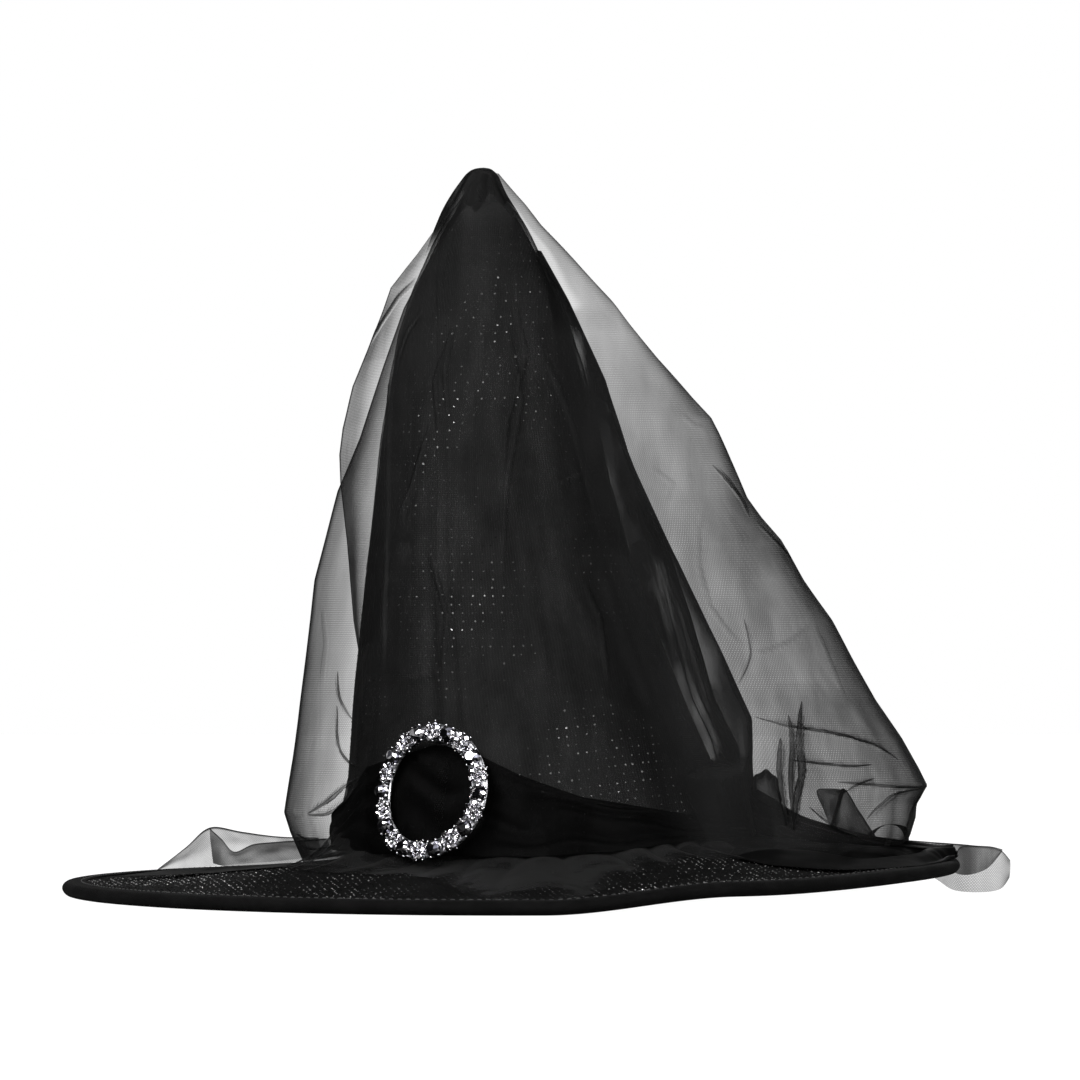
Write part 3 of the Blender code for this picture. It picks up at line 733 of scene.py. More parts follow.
def make_crown_cloth():
    dome = 0.02

    def point(u, v):
        angle = TURN * u
        if v < dome:
            t = v / dome
            rim = crown_point(angle, 0.0)
            return Vector((mix(PEAK_X, rim.x, t), rim.y * t, PEAK_Z + 1.2 * MM * (1 - t * t)))
        if v < CLOTH_FOOT:
            return crown_cloth_point(angle, (v - dome) / (CLOTH_FOOT - dome))
        out = SEAM_WIDTH * (v - CLOTH_FOOT) / (1 - CLOTH_FOOT)
        seam = crown_point(angle, 1.0) + Vector((cos(angle), sin(angle), 0.0)) * out
        seam.z = brim_height(seam.x, seam.y) + CROWN_WALL + 0.35 * MM
        return seam

    data = mesh_from_grid("crown_cloth", point, 240, 200, closed=True)
    set_uv(data, crown_chart)
    cloth = add_piece("crown_cloth", data, CROWN_CLOTH, "hat", ("crown_shell",))
    add_wall(cloth, CROWN_WALL, -1.0)


def make_crown_dots():
    """Staggered rows of dots on the crown, set out on the flat cone the cloth was cut from."""
    pitch = 4.2 * MM
    rows = int((PEAK_Z - CROWN_FOOT) / (pitch * 0.87))
    chance = Random(4)
    places = []
    for row in range(2, rows):
        z = CROWN_FOOT + row * pitch * 0.87
        share = share_at(z, -pi / 2)
        count = int(pi * (crown_half_width(share) + crown_half_depth(share)) / pitch)
        for k in range(count):
            angle = TURN * (k + 0.5 * (row % 2) + chance.gauss(0.0, 0.1)) / count
            place = crown_cloth_point(angle, share, 0.06 * MM)
            out = Vector((cos(angle), sin(angle), 0.28))
            places.append((place, out.normalized()))
    add_dots("crown_dots", places, CROWN_FOIL, 0.1 * MM, 9)


# The bunched net over the tip: how far below its top, and its radius there, in mm.
PEAK_CAP = ((0, 0), (0.8, 4.0), (3, 6.8), (7, 9.2), (14, 13.2), (22, 17.4), (31, 21.4), (42, 25.2))
PEAK_CAP_ABOVE = 3.8 * MM


def make_peak():
    """The net is bunched over the crown's tip in a blunt cap, and thins out down the crown."""
    top = PEAK_Z + PEAK_CAP_ABOVE
    line = [Vector(pair) * MM for pair in PEAK_CAP]

    def point(u, v):
        angle = TURN * u
        drop, radius = on_curve(line, min(0.999, v))
        pleat = 0.5 * MM * sin(angle * 8 + 3 * v) * smooth(0.15, 0.5, v)
        radius *= 1 + 0.1 * ripple(cos(angle), sin(angle), v * 3, 0.8, 2.0) * smooth(1.0, 0.4, v)
        share = max(0.0, (drop - PEAK_CAP_ABOVE) / PEAK_Z)
        middle = crown_middle(share) - 1.5 * MM * smooth(0.0, 0.5, v)
        deep = min(radius, crown_half_depth(share) + 2.4 * MM)
        x = middle + (radius + pleat) * cos(angle)
        y = (deep + pleat) * sin(angle)
        return Vector((x, y, top - drop)), 0.5 * smooth(0.0, 0.5, v) - 1.5 * smooth(0.4, 0.97, v)

    add_net("peak_gather", point, (140, 90), NET_PLEATED, size=(0.08, 0.05), closed=True)


def make_interlining():
    """Open buckram that holds the crown up from inside."""

    def point(u, v):
        return crown_point(TURN * u, mix(0.06, 0.985, v), -1.7 * MM)

    data = mesh_from_grid("crown_buckram", point, 120, 120, closed=True)
    add_piece("crown_buckram", data, BUCKRAM, "hat", ("crown_interlining",))


def make_peak_thread():
    """Turns of thread that tie the net down on the crown's tip."""
    points = []
    turns, steps = 6, 150
    for i in range(steps + 1):
        t = i / steps
        angle = TURN * turns * t
        z = PEAK_Z - mix(4.5, 9.5, t) * MM + 0.3 * MM * sin(angle * 1.7)
        place = crown_point(angle, share_at(z, angle), 0.6 * MM)
        place.z += 0.3 * MM * sin(3 * angle)
        points.append(place)
    add_thread("peak_thread", [points], 0.32 * MM, nodes=("peak_knot",))


def make_sweatband():
    def point(u, v):
        angle = TURN * u
        top = share_at(BAND_HIGH[2], angle)
        place = crown_point(angle, mix(top, 1.0, v), -2.3 * MM)
        place.z -= (CROWN_FOOT - BRIM_RISE - 0.9 * MM) * v
        return place

    size = (TURN * CROWN_RADIUS, 26 * MM)
    data = mesh_from_grid("sweatband_ribbon", point, 240, 24, closed=True, size=size)
    band = add_piece("sweatband_ribbon", data, RIBBON, "hat", ("sweatband",))
    add_wall(band, 0.8 * MM, -1.0)


# ---------------------------------------------------------------- the veil

# Reach in x of each loose sheet's outline, from its hem up: pairs of height and x, in mm.
RIGHT_OUTLINE = (
    (17, 162), (26, 167), (34, 169.5), (40, 170), (48, 175), (56, 171), (69, 163.5), (86, 152),
    (104, 142), (122, 132.5), (140, 120), (158, 109.5), (168, 101), (177, 94.5), (194, 87),
    (206, 82), (213, 78.5), (222, 70), (240, 54), (266, 33), (300, 1.5), (309, -5), (323, -17),
)  # fmt: skip
INNER_OUTLINE = (
    (16, 98), (30, 95), (50, 92), (66, 89), (86, 79), (122, 69), (158, 58), (194, 42), (230, 31),
    (266, 14), (288, 2),
)  # fmt: skip
FOLD_OUTLINE = ((18, 101), (34, 99), (47, 97), (78, 96.5), (110, 82), (152, 61.5), (190, 44), (215, 34))
LEFT_OUTLINE = (
    (14, -104), (27, -110), (36, -113), (59, -109.5), (99, -104.6), (140, -99.6), (180, -89.5),
    (204, -79.4), (236, -69), (262, -60), (290, -45), (318, -30),
)  # fmt: skip
LEFT_TOP_OUTLINE = (
    (98, -79), (122, -83), (158, -86), (184, -89), (197, -89.5), (209, -88), (228, -83.5), (246, -76),
    (262, -69.6), (272, -66), (287, -54), (302, -43), (318, -33),
)  # fmt: skip

# Creases, each as its points in mm, the half-width of its soft shade, and its height in mm. The soft shade is
# a lift of the sheet and painted shade in its net.
RIGHT_CREASES = (
    (((78, 191), (86, 183), (92, 175), (95, 168)), 4.0, 3.2),
    (((75, 176), (71, 160), (71, 145), (76, 127), (84, 116), (93, 107)), 3.5, 1.9),
    (((91, 122), (93, 112), (93, 104), (88, 93)), 3.0, 2.0),
    (((93, 107), (101, 108), (111, 112), (123, 121)), 3.5, 1.6),
    (((98, 166), (106, 158), (115, 149)), 3.0, 2.4),
    (((95, 79), (110, 75), (124, 73), (136, 70.5), (150, 66), (160, 60)), 4.0, 3.0),
    (((110, 60.5), (122, 59), (136, 57.5), (147, 58)), 3.5, 2.6),
    (((131, 50.5), (146, 49.5), (160, 48), (174, 47.6)), 4.0, 3.0),
    (((134, 46), (141, 50), (148, 52)), 2.0, 2.2),
    (((144, 34), (150, 40), (158, 45), (172, 47)), 3.0, 2.8),
    (((163, 28), (167, 38), (173, 46)), 2.5, 3.2),
    (((106, 70), (105, 54), (108, 32)), 2.5, 6.0),
    (((110, 80), (111, 66), (110, 52), (111, 32)), 2.5, 6.0),
    (((116, 86), (114, 70), (115, 56), (112, 42), (111, 30)), 2.5, 8.0),
    (((121, 124), (128, 108), (133, 94), (137, 82)), 9.0, 1.0),
    (((64, 214), (70, 209), (75, 208)), 2.0, 1.2),
    (((50, 190), (60, 182), (56, 170)), 9.0, 1.2),
    (((118, 40), (130, 31), (142, 26)), 3.0, 2.4),
)
INNER_CREASES = (
    (((36, 190), (44, 168), (50, 150), (57, 128), (62, 110)), 2.5, 2.6),
    (((54, 150), (62, 124), (70, 96), (84, 62)), 2.5, 3.0),
    (((64, 104), (72, 80), (80, 64), (88, 54)), 2.0, 3.0),
    (((57, 92), (66, 74), (76, 60), (88, 50)), 2.0, 2.6),
)
LEFT_TOP_CREASES = (
    (((-52, 276), (-62, 267), (-70, 256), (-78, 244)), 1.8, 2.2),
    (((-50, 262), (-58, 250), (-64, 232)), 1.5, 1.2),
)
PANEL_CREASES = (
    (((4, 177), (16, 182), (31, 187)), 1.2, 1.6),
    (((-45, 206), (-52, 180), (-60, 160)), 6.0, 1.6),
    (((-63, 240), (-64, 160), (-66, 90)), 3.0, 1.4),
    (((-60, 92), (-40, 98), (-18, 108)), 2.5, 0.9),
    (((-14, 250), (-8, 214), (-14, 176), (-16, 120)), 9.0, 1.1),
    (((2, 236), (14, 204), (26, 160)), 9.0, 1.1),
    (((-36, 250), (-40, 228), (-38, 205)), 9.0, 0.9),
)
LEFT_CREASES = (
    (((-88, 99), (-87, 89), (-84, 82), (-79, 76)), 2.5, 2.6),
    (((-88, 84), (-87, 67), (-83, 60), (-78, 57)), 2.5, 2.8),
    (((-101, 36.5), (-93, 41), (-86, 47), (-79, 52)), 4.0, 4.0),
    (((-101, 36), (-92, 36.5), (-84, 42), (-78, 50)), 3.0, 3.4),
    (((-108, 35), (-104, 35), (-100, 36)), 2.0, 1.6),
    (((-107, 27), (-99, 25), (-90, 26)), 2.0, 2.0),
    (((-105, 22), (-97, 21), (-88, 23)), 2.0, 2.0),
    (((-96, 130), (-93, 112), (-95, 90)), 4.0, 1.2),
    (((-112, 38), (-109, 36.5), (-106, 36)), 1.5, 1.2),
)


# A crease lower than this, in mm, is only a soft shade in its sheet: a slight lift and painted shade in the
# net.
LOWEST_RIDGE = 2.0


def fan(u, v, count, height, seed):
    """Soft radial folds that open out from the peak towards the hem."""
    phase = TURN * (count * u + 0.35 * noise.noise(Vector((u * 3.0, v * 1.6, seed))))
    wander = 0.6 + 0.6 * noise.noise(Vector((u * 7.0, v * 2.3, seed + 4)))
    return height * v * v * sin(phase) * wander


@dataclass
class LooseSheet:
    """A sheet that leaves the crown in front, swings out to its outline and comes back behind."""

    outline: tuple  # heights and the reach in x there, in mm
    span: tuple  # the angles where it leaves the crown and comes back, in degrees
    creases: tuple = ()
    stand_off: tuple = (3.0, 7.5)  # clear of the crown near its peak, and more lower down, in mm
    folds: tuple = (7, 2.2)  # how many soft folds, and their height in mm
    seed: float = 1.0
    gap: tuple = ()  # (low, high, width): its front starts this far clear of the crown there, in mm
    soft_edge: tuple = (0.0, 1.0)  # how far its front edge thins out, and over what share of it

    def __post_init__(self):
        self.outline = [(z * MM, x * MM) for z, x in self.outline]
        self.side = 1 if self.outline[1][1] > 0 else -1

    def ends(self, z):
        places = []
        near, far = self.stand_off
        for angle in map(radians, self.span):
            share = max(0.0, share_at(z, angle))
            place = crown_point(angle, share, (near + far * smooth(0.1, 0.6, share)) * MM)
            place.z = z
            places.append(place)
        if self.gap:
            low, high, width = self.gap
            clear = smooth(low, low + 14, z / MM) * smooth(high, high - 40, z / MM)
            width *= 1 + 0.45 * ripple(z, 0.0, 0.0, 16 * MM, self.seed)
            side = crown_point(0.0, max(0.0, share_at(z, 0.0)), width * MM)
            places[0].x = mix(places[0].x, side.x, clear)
            places[0].y = mix(places[0].y, -7 * MM, clear)
        return places

    def raw(self, u, v):
        z = mix(self.outline[-1][0], self.outline[0][0], v)
        front, back = self.ends(z)
        pull = (on_outline(self.outline, z) - (front.x + back.x) / 8) / 0.75
        ahead = Vector((pull, front.y * 0.72, z))
        behind = Vector((pull, back.y * 0.72, z))
        return on_bezier(front, ahead, behind, back, u)

    def point(self, u, v):
        u = mix(u, u * u, 0.45)
        place = self.raw(u, v)
        step = 0.004
        across = self.raw(min(1.0, u + step), v) - self.raw(max(0.0, u - step), v)
        out = Vector((across.y, -across.x, 0.0))
        if out.length < 1e-9:
            return place
        out.normalize()
        if (out.x > 0) != (self.side > 0):
            out = -out
        count, height = self.folds
        middle = sin(pi * u)
        push = fan(u, v, count, height * MM, self.seed) * middle
        push += 1.6 * MM * ripple(place.x, place.y, place.z, 30 * MM, self.seed) * middle
        push += 0.25 * MM * ripple(place.x, place.y, place.z, 10 * MM, self.seed + 3) * smooth(0.5, 1.0, v)
        shade = 0.0
        if u < 0.55:
            shade = creases_at(place.x, place.z, self.creases) / MM * smooth(0.55, 0.45, u)
        # The outline itself stays where it is.
        edge = abs(out.x) ** 3
        push += 0.35 * MM * shade
        thin, reach = self.soft_edge
        # Painted shade: along each crease the net is given more cover, on top of its real lift.
        return place + out * push * (1 - 0.75 * edge), 0.16 * shade - thin * smooth(reach, 0.0, u)

    def front_place(self, x, z):
        """The place on the sheet's front half that is seen at this x and height."""
        low, high = self.outline[0][0], self.outline[-1][0]
        v = min(1.0, max(0.0, (high - z) / (high - low)))
        near, far = 0.0, 0.6
        for _ in range(12):
            middle = (near + far) / 2
            if self.side * self.point(middle, v)[0].x < self.side * x:
                near = middle
            else:
                far = middle
        return self.point(near, v)[0]

    def ridges(self):
        """Each crease as a pinched ridge of net: two narrow slopes that taper off at both ends."""
        verts, faces = [], []
        for points, _, height in self.creases:
            if height < LOWEST_RIDGE:
                continue
            line = [Vector((x, 0.0, z)) * MM for x, z in points]
            steps = 10 * len(line)
            start = len(verts)
            for i in range(steps + 1):
                t = min(0.999, i / steps)
                place = on_curve(line, t)
                along = on_curve(line, min(0.9999, t + 0.01)) - place
                side = Vector((along.z, 0.0, -along.x)).normalized()
                wobble = 0.35 * MM * ripple(place.x, place.z, 0.0, 7 * MM, self.seed)
                swell = sin(pi * t) ** 0.6 * (1 + 0.3 * ripple(place.x, place.z, 0.0, 4 * MM, self.seed + 9))
                half = 0.2 * height * MM * swell + 0.04 * MM
                top = 0.55 * height * MM * swell
                for across, out in ((-half, 0.0), (0.2 * half, top), (half, 0.0)):
                    spot = place + side * (across + wobble)
                    lifted = Vector((0.0, -0.15 * MM - out, 0.1 * out))
                    verts.append(self.front_place(spot.x, spot.z) + lifted)
                if i:
                    for k in range(2):
                        last, here = start + 3 * (i - 1) + k, start + 3 * i + k
                        faces.append((last, here, here + 1, last + 1))
        data = mesh_from_faces("creases", verts, faces)
        data.uv_layers.new(name="cloth")
        set_uv(data, lambda place: (place.x, place.z))
        return data


def swing(obj):
    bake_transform(obj)


def add_loose_side(body, sheet, grid, finish, size):
    """The sheet itself and its sharp creases, as two pieces with their transforms baked into their meshes."""
    swing(add_net(body, sheet.point, grid, finish, (body + "_side",), None, size))
    swing(add_piece(body + "_creases", sheet.ridges(), NET_GATHERED, None))


def make_right_side():
    outer = LooseSheet(
        RIGHT_OUTLINE, (-60, 60), RIGHT_CREASES, gap=(250, 330, 6.0), soft_edge=(1.0, 0.07)
    )
    add_loose_side("veil_right", outer, (290, 330), NET_STRETCHED, (0.33, 0.36))
    inner = LooseSheet(
        INNER_OUTLINE,
        (-48, 50),
        INNER_CREASES,
        stand_off=(1.8, 3.0),
        folds=(13, 3.2),
        seed=6.0,
        gap=(50, 170, 6.0),
        soft_edge=(1.0, 0.35),
    )
    add_net("veil_right_gather", inner.point, (170, 220), NET_PLEATED, size=(0.2, 0.36))
    add_piece("veil_right_pleats", inner.ridges(), NET_GATHERED, "hat")
    fold = LooseSheet(
        FOLD_OUTLINE,
        (-44, 30),
        stand_off=(2.4, 4.6),
        folds=(5, 1.8),
        seed=9.0,
        gap=(50, 180, 9.5),
        soft_edge=(0.6, 0.35),
    )
    add_net("veil_right_fold", fold.point, (120, 150), NET_FOLD, size=(0.2, 0.25))


def make_left_side():
    sheet = LooseSheet(
        LEFT_OUTLINE,
        (216, 128),
        LEFT_CREASES,
        stand_off=(2.5, 4.5),
        folds=(6, 1.8),
        seed=2.0,
        soft_edge=(1.0, 0.16),
    )
    add_loose_side("veil_left", sheet, (240, 300), NET_LEFT, (0.2, 0.35))
    outline = [(z * MM, x * MM) for z, x in LEFT_TOP_OUTLINE]

    def point(u, v):
        z = mix(outline[-1][0], outline[0][0], v)
        start = crown_point(radians(232), share_at(z, pi), 3.0 * MM)
        start.z = z
        end = Vector((on_outline(outline, z), 14 * MM * smooth(0.0, 0.5, v), z))
        middle = start.lerp(end, 0.6) + Vector((-9 * MM * v, -14 * MM * smooth(0.0, 0.4, v), 0.0))
        place = on_bezier(start, middle, middle, end, u)
        place.y += 1.2 * MM * ripple(place.x, place.z, 0.0, 12 * MM, 8.0)
        crease = creases_at(place.x, place.z, LEFT_TOP_CREASES)
        place.y -= crease
        # Painted shade: along each crease the net is given more cover, on top of its real dent. The rise at
        # the far end is its rolled edge.
        return place, 0.8 * crease / MM + 2.5 * smooth(0.965, 1.0, u)

    edge = add_net("veil_left_edge", point, (80, 220), NET_LEFT, (), None, (0.08, 0.3))
    swing(edge)


def hem_reach(angle):
    """How far the veil's hem spreads on the brim."""
    corner = 74 * MM * bump_at(radians(268), radians(13), angle)
    back = 44 * MM * bump_at(radians(112), radians(22), angle)
    ragged = 5 * MM * noise.noise(Vector((angle * 4.0, 0.0, 2.0)))
    return 22 * MM + corner + back + ragged


PANEL_TURNS_OUT = 0.8


def turn_out_height(angle):
    """How high over the brim a panel leaves the crown. It flares from further up at the left."""
    return 6 * MM + 30 * MM * bump_at(radians(194), radians(15), angle)


BELOW_BUCKLE = radians(236)


def panel_point(span, u, v):
    """A panel follows the crown from the peak, passes under the sash, and turns out over the brim."""
    angle = mix(radians(span[0]), radians(span[1]), u)
    turn_share = share_at(crown_foot(angle) + turn_out_height(angle), angle)
    inside = sin(pi * u) ** 0.5
    if v < PANEL_TURNS_OUT:
        share = mix(0.01, turn_share, v / PANEL_TURNS_OUT)
        place = crown_point(angle, share)
        pleat = (1 + sin(angle * 30 + 4 * noise.noise(Vector((angle * 3, share * 3, 1.0))))) * 0.5
        soft = 1 + ripple(place.x, place.y, place.z, 30 * MM, 7.0)
        front = creases_at(place.x, place.z, PANEL_CREASES) if sin(angle) < 0 else 0.0
        free = smooth(1.0, 0.8, share)
        offset = 0.7 * MM + (0.6 * MM * soft * free + 0.8 * MM * pleat * smooth(0.3, 0.9, share)) * inside
        lifted = (offset + front * free) * smooth(0.0, 0.08, share) + 0.4 * MM
        # Painted shade: along each crease of the front the net is given more cover, on top of its real lift.
        return crown_cloth_point(angle, share, lifted), 0.3 * front / MM + 0.5 * smooth(0.12, 0.0, share)
    t = (v - PANEL_TURNS_OUT) / (1 - PANEL_TURNS_OUT)
    start = crown_cloth_point(angle, turn_share, 1.7 * MM)
    out = Vector((cos(angle), sin(angle), 0.0))
    end = start + out * (8 * MM + hem_reach(angle))
    edge = hypot(end.x - BRIM_X, end.y)
    if edge > BRIM_RADIUS - 3 * MM:
        end -= out * (edge - BRIM_RADIUS + 3 * MM)
    # The buckle presses the net flatter where it stands over the hem.
    loose = 1 - 0.75 * bump_at(BELOW_BUCKLE, radians(20), angle)
    bend = start + out * 5 * MM
    bend.z = brim_height(bend.x, bend.y) + 3 * MM * loose
    end.z = brim_height(end.x, end.y) + 1.2 * MM
    place = on_bezier(start, bend, bend.lerp(end, 0.4), end, t)
    swell = abs(sin(angle * 17 + 3 * noise.noise(Vector((angle * 2, t, 3.0)))))
    place.z = max(place.z, brim_height(place.x, place.y) + 0.8 * MM)
    place.z += 2.6 * MM * loose * swell * sin(pi * min(1.0, t * 1.02)) ** 0.7
    return place, 0.3 * (1 - swell) - 0.9 * smooth(0.6, 1.0, t)


def make_panels():
    panels = (
        ("veil_front", "veil_front_panel", (193, 350), NET_FRONT),
        ("veil_back", "veil_back_panel", (10, 152), NET),
    )
    for name, node, span, finish in panels:
        add_net(name, partial(panel_point, span), (280, 260), finish, (node,), size=(0.24, 0.42))


def ribbon(first, second, sag=0.0, wrinkle=0.5, gather=0.0, hem=2.0, seed=0.0):
    """A sheet of net between two edges in mm, with a sag, wrinkles and a rolled first edge."""
    first, second = ([Vector(place) * MM for place in edge] for edge in (first, second))

    def point(u, v):
        start, end = on_curve(first, u), on_curve(second, u)
        place = start.lerp(end, v)
        place.y -= sag * MM * sin(pi * v)
        bend = wrinkle * MM * ripple(place.x, place.y, place.z, 8 * MM, seed)
        place += Vector((0.3, -1.0, 0.5)) * bend * sin(pi * min(1.0, v + 0.1))
        return place, gather + hem * smooth(0.06, 0.0, v)

    return point


def over_brim(place, reach=2 * MM):
    """Lifts a place clear of the brim's cloth, up to this far past the brim's edge."""
    if hypot(place.x - BRIM_X, place.y) < BRIM_RADIUS + reach:
        place.z = max(place.z, brim_height(place.x, place.y) + 0.9 * MM)


def on_brim(shape):
    """The same sheet, kept clear above the brim's cloth."""

    def point(u, v):
        place, gather = shape(u, v)
        over_brim(place)
        return place, gather

    return point


def make_train():
    """A stray fold of the veil that stands on the brim at the left, behind."""
    outer = ribbon(
        ((-173, 34, 9), (-160, 33, 19), (-149, 32, 28), (-134, 34, 26), (-120, 36, 24), (-100, 42, 23)),
        ((-173, 31, 8.4), (-158, 22, 10), (-146, 20, 11), (-132, 22, 12), (-118, 26, 13), (-98, 34, 15)),
        sag=3.0,
        wrinkle=1.2,
        gather=0.1,
        hem=9.0,
    )
    inner = ribbon(
        ((-149, 30, 28), (-143, 24, 23), (-137, 20, 17.5), (-128, 20, 21), (-116, 24, 22), (-96, 32, 23)),
        ((-147, 26, 12), (-140, 14, 11), (-132, 8, 11.5), (-122, 8, 12), (-110, 12, 13), (-92, 24, 15)),
        sag=2.0,
        wrinkle=1.4,
        gather=0.8,
        hem=9.0,
        seed=4.0,
    )
    lying = ribbon(
        (
            (-186, 6, 7), (-160, -6, 8.5), (-138, -12, 9.6),
            (-116, -20, 11.2), (-96, -30, 13.6), (-84, -40, 15),
        ),
        (
            (-185, 11, 7.4), (-164, 26, 9.4), (-140, 18, 11),
            (-118, 12, 12.4), (-100, 4, 14), (-88, -8, 15.6),
        ),
        wrinkle=1.0,
        gather=0.2,
        hem=4.0,
        seed=7.0,
    )
    sheets = (("outer", outer, NET_SINGLE), ("inner", inner, NET_SINGLE), ("lying", lying, NET_GATHERED))
    for part, shape, finish in sheets:
        add_net("train_" + part, on_brim(shape), (120, 40), finish, size=(0.1, 0.03))


# ---------------------------------------------------------------- the sash

# The sash's upper edge across the front, as x and height in mm. It dips to the right of the buckle.
SASH_TOP = (
    (-96, 33), (-84, 44), (-75, 57), (-62, 61), (-40, 67), (-22, 65), (1, 54.5), (28, 45), (46, 42),
    (73, 37), (95, 34),
)  # fmt: skip
SASH_OFF = 5.9 * MM
SASH_PLEAT = 1.4 * MM


def sash_top(angle):
    x = (CROWN_X + (CROWN_RADIUS + 6 * MM) * cos(angle)) / MM
    front = on_outline(SASH_TOP, x) * MM
    return mix(SASH_HIGH[2] - 6 * MM, front, smooth(0.7, 0.2, sin(angle)))


def make_sash():
    def point(u, v):
        angle = TURN * u
        foot = crown_foot(angle) + 5.5 * MM
        z = mix(sash_top(angle), foot, v)
        wander = noise.noise(Vector((cos(angle) * 3, sin(angle) * 3, v * 1.5)))
        pleat = 0.5 + 0.5 * sin(TURN * (2.6 * v + 1.2 * wander))
        out = SASH_OFF + SASH_PLEAT * pleat * sin(pi * v) ** 0.4
        place = crown_point(angle, share_at(z, angle), out)
        place.z = z
        return place, 1.0 - pleat + 2.0 * smooth(0.05, 0.0, v)

    size = (TURN * CROWN_RADIUS, 0.05)
    add_net("sash_gathered", point, (300, 60), NET_DENSE, ("sash_band",), size=size, closed=True)


def make_knot():
    """The sash's knot: a lump of net with soft pleats that meet at its front and back."""
    middle = (Vector(TIE_LOW) + Vector(TIE_HIGH)) / 2 - Vector((0.0, 0.0, 3 * MM))
    half = (Vector(TIE_HIGH) - Vector(TIE_LOW)) * 0.42

    def point(u, v):
        around, up = TURN * u, pi * v
        lump = 0.07 * ripple(cos(around), sin(around), v * 3, 0.8, 3.0)
        pleat = (1 + 0.05 * sin(around * 8 + 2 * sin(up)) + lump) * sin(up) ** 0.8
        x, z = half.x * pleat * cos(around), half.z * pleat * sin(around)
        return middle + Vector((x, half.y * cos(up), z)), 0.2

    add_net("sash_tie", point, (96, 40), NET_GATHERED, ("sash_knot",), size=(0.06, 0.04), closed=True)


def make_loops():
    """The bow's two loops, open to the front, lying over the tail."""
    loops = (
        (
            "front_side",
            ((131, -12, 29), (127, -20, 38), (124, -22, 46), (129, -20, 47), (136, -18, 46.5)),
            ((133, -10, 29), (134, -4, 34), (136, -2, 40), (137, -6, 44), (138, -14, 46)),
            (NET, 0.2, 19.0, ("sash_bow_front",)),
        ),
        (
            "front_over",
            ((130, -14, 27), (132, -24, 38), (136, -19, 47), (143, -20, 37), (151, -16, 25)),
            ((126, 8, 20), (130, 4, 22), (136, 2, 24), (143, 2, 22), (150, 4, 19)),
            (NET_GATHERED, 0.3, 19.0, ()),
        ),
        (
            "back",
            ((147, -12, 22), (152, -16, 29), (158, -16, 31), (165, -12, 29), (166, -6, 21)),
            ((146, 12, 21), (151, 14, 27), (158, 14, 30), (164, 14, 28), (167, 12, 20)),
            (NET, 0.3, 13.0, ("sash_bow_back",)),
        ),
        (
            "back_under",
            ((146, -14, 22), (151, -20, 19), (158, -20, 18.5), (164, -16, 20), (168, -12, 24)),
            ((147, 12, 22), (152, 12, 20), (158, 12, 19.5), (163, 10, 21), (168, 8, 22)),
            (NET_GATHERED, 0.1, 19.0, ()),
        ),
    )
    for part, first, second, (finish, gather, seed, nodes) in loops:
        shape = on_brim(ribbon(first, second, 2.0, 1.3, gather, 3.0, seed))
        add_net("bow_loop_" + part, shape, (80, 50), finish, nodes, size=(0.06, 0.03))


# The tail's centre line in mm and its half-width and half-height there, from the knot to the hinge.
TAIL_LINE = (
    (90, -18, 38), (104, -18, 31), (122, -16, 25), (144, -14, 21), (166, -10, 19.5), (187, -4, 17.5),
)  # fmt: skip
TAIL_HALF = ((8, 0, 12), (14, 0, 12), (19, 0, 8.5), (20, 0, 6), (19, 0, 4.4), (15, 0, 2.6))


def make_tail_spread():
    """Where the tail's net has opened out and lies in soft folds over the right of the brim."""
    front = ((72, -70, 20), (92, -92, 18), (118, -102, 16), (143, -104, 15), (166, -82, 14), (184, -34, 14))
    back = ((80, -20, 34), (100, -10, 30), (122, -4, 25), (146, 0, 21), (168, 4, 19), (187, 6, 15))
    shape = ribbon(front, back, 0.0, 2.2, 0.4, 1.5, 5.0)

    def point(u, v):
        place, gather = shape(u, v)
        floor = brim_height(place.x, place.y) + 0.9 * MM
        fold = abs(sin(7 * v + 2.5 * ripple(place.x, place.y, 0.0, 40 * MM, 2.0)))
        lifted = floor + (1.5 + 4.5 * fold) * MM * sin(pi * min(1.0, v * 0.8 + 0.02)) ** 0.8
        blend = smooth(0.35, 1.0, v)
        place.z = max(floor, mix(lifted, max(place.z, lifted), blend))
        return place, gather + 0.6 * (1 - fold)

    add_net("sash_tail_spread", point, (150, 120), NET_DENSE, size=(0.13, 0.1))


def swing_tail(obj):
    """Bakes a tail piece's transform into its mesh."""
    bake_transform(obj)


def make_tail_run():
    """The tail from the knot to the hinge: an outer wrap of net round an inner one."""
    line = [Vector(place) * MM for place in TAIL_LINE]
    halves = [Vector(size) * MM for size in TAIL_HALF]
    wraps = (
        ("sash_tail_outer", 1.0, 7, 0.0, ("sash_tail_run",)),
        ("sash_tail_inner", 0.72, 5, 2.0, ()),
    )
    for name, scale, pleats, seed, nodes in wraps:

        def point(u, v, scale=scale, pleats=pleats, seed=seed):
            middle, half = on_curve(line, v), on_curve(halves, v)
            around = TURN * u
            twist = 9 * v * noise.noise(Vector((v * 2, seed, 1.0)))
            wave = 0.5 + 0.5 * sin(around * pleats + twist + seed)
            ragged = 0.12 * ripple(cos(around), sin(around), v * 4, 0.9, seed)
            section = Vector((0.0, half.x * cos(around), half.z * sin(around)))
            place = middle + section * (scale * (1 - 0.24 * wave + ragged))
            over_brim(place, 1 * MM)
            return place, 1.2 * wave

        swing_tail(add_net(name, point, (120, 150), NET_DENSE, nodes, None, (0.12, 0.1), True))


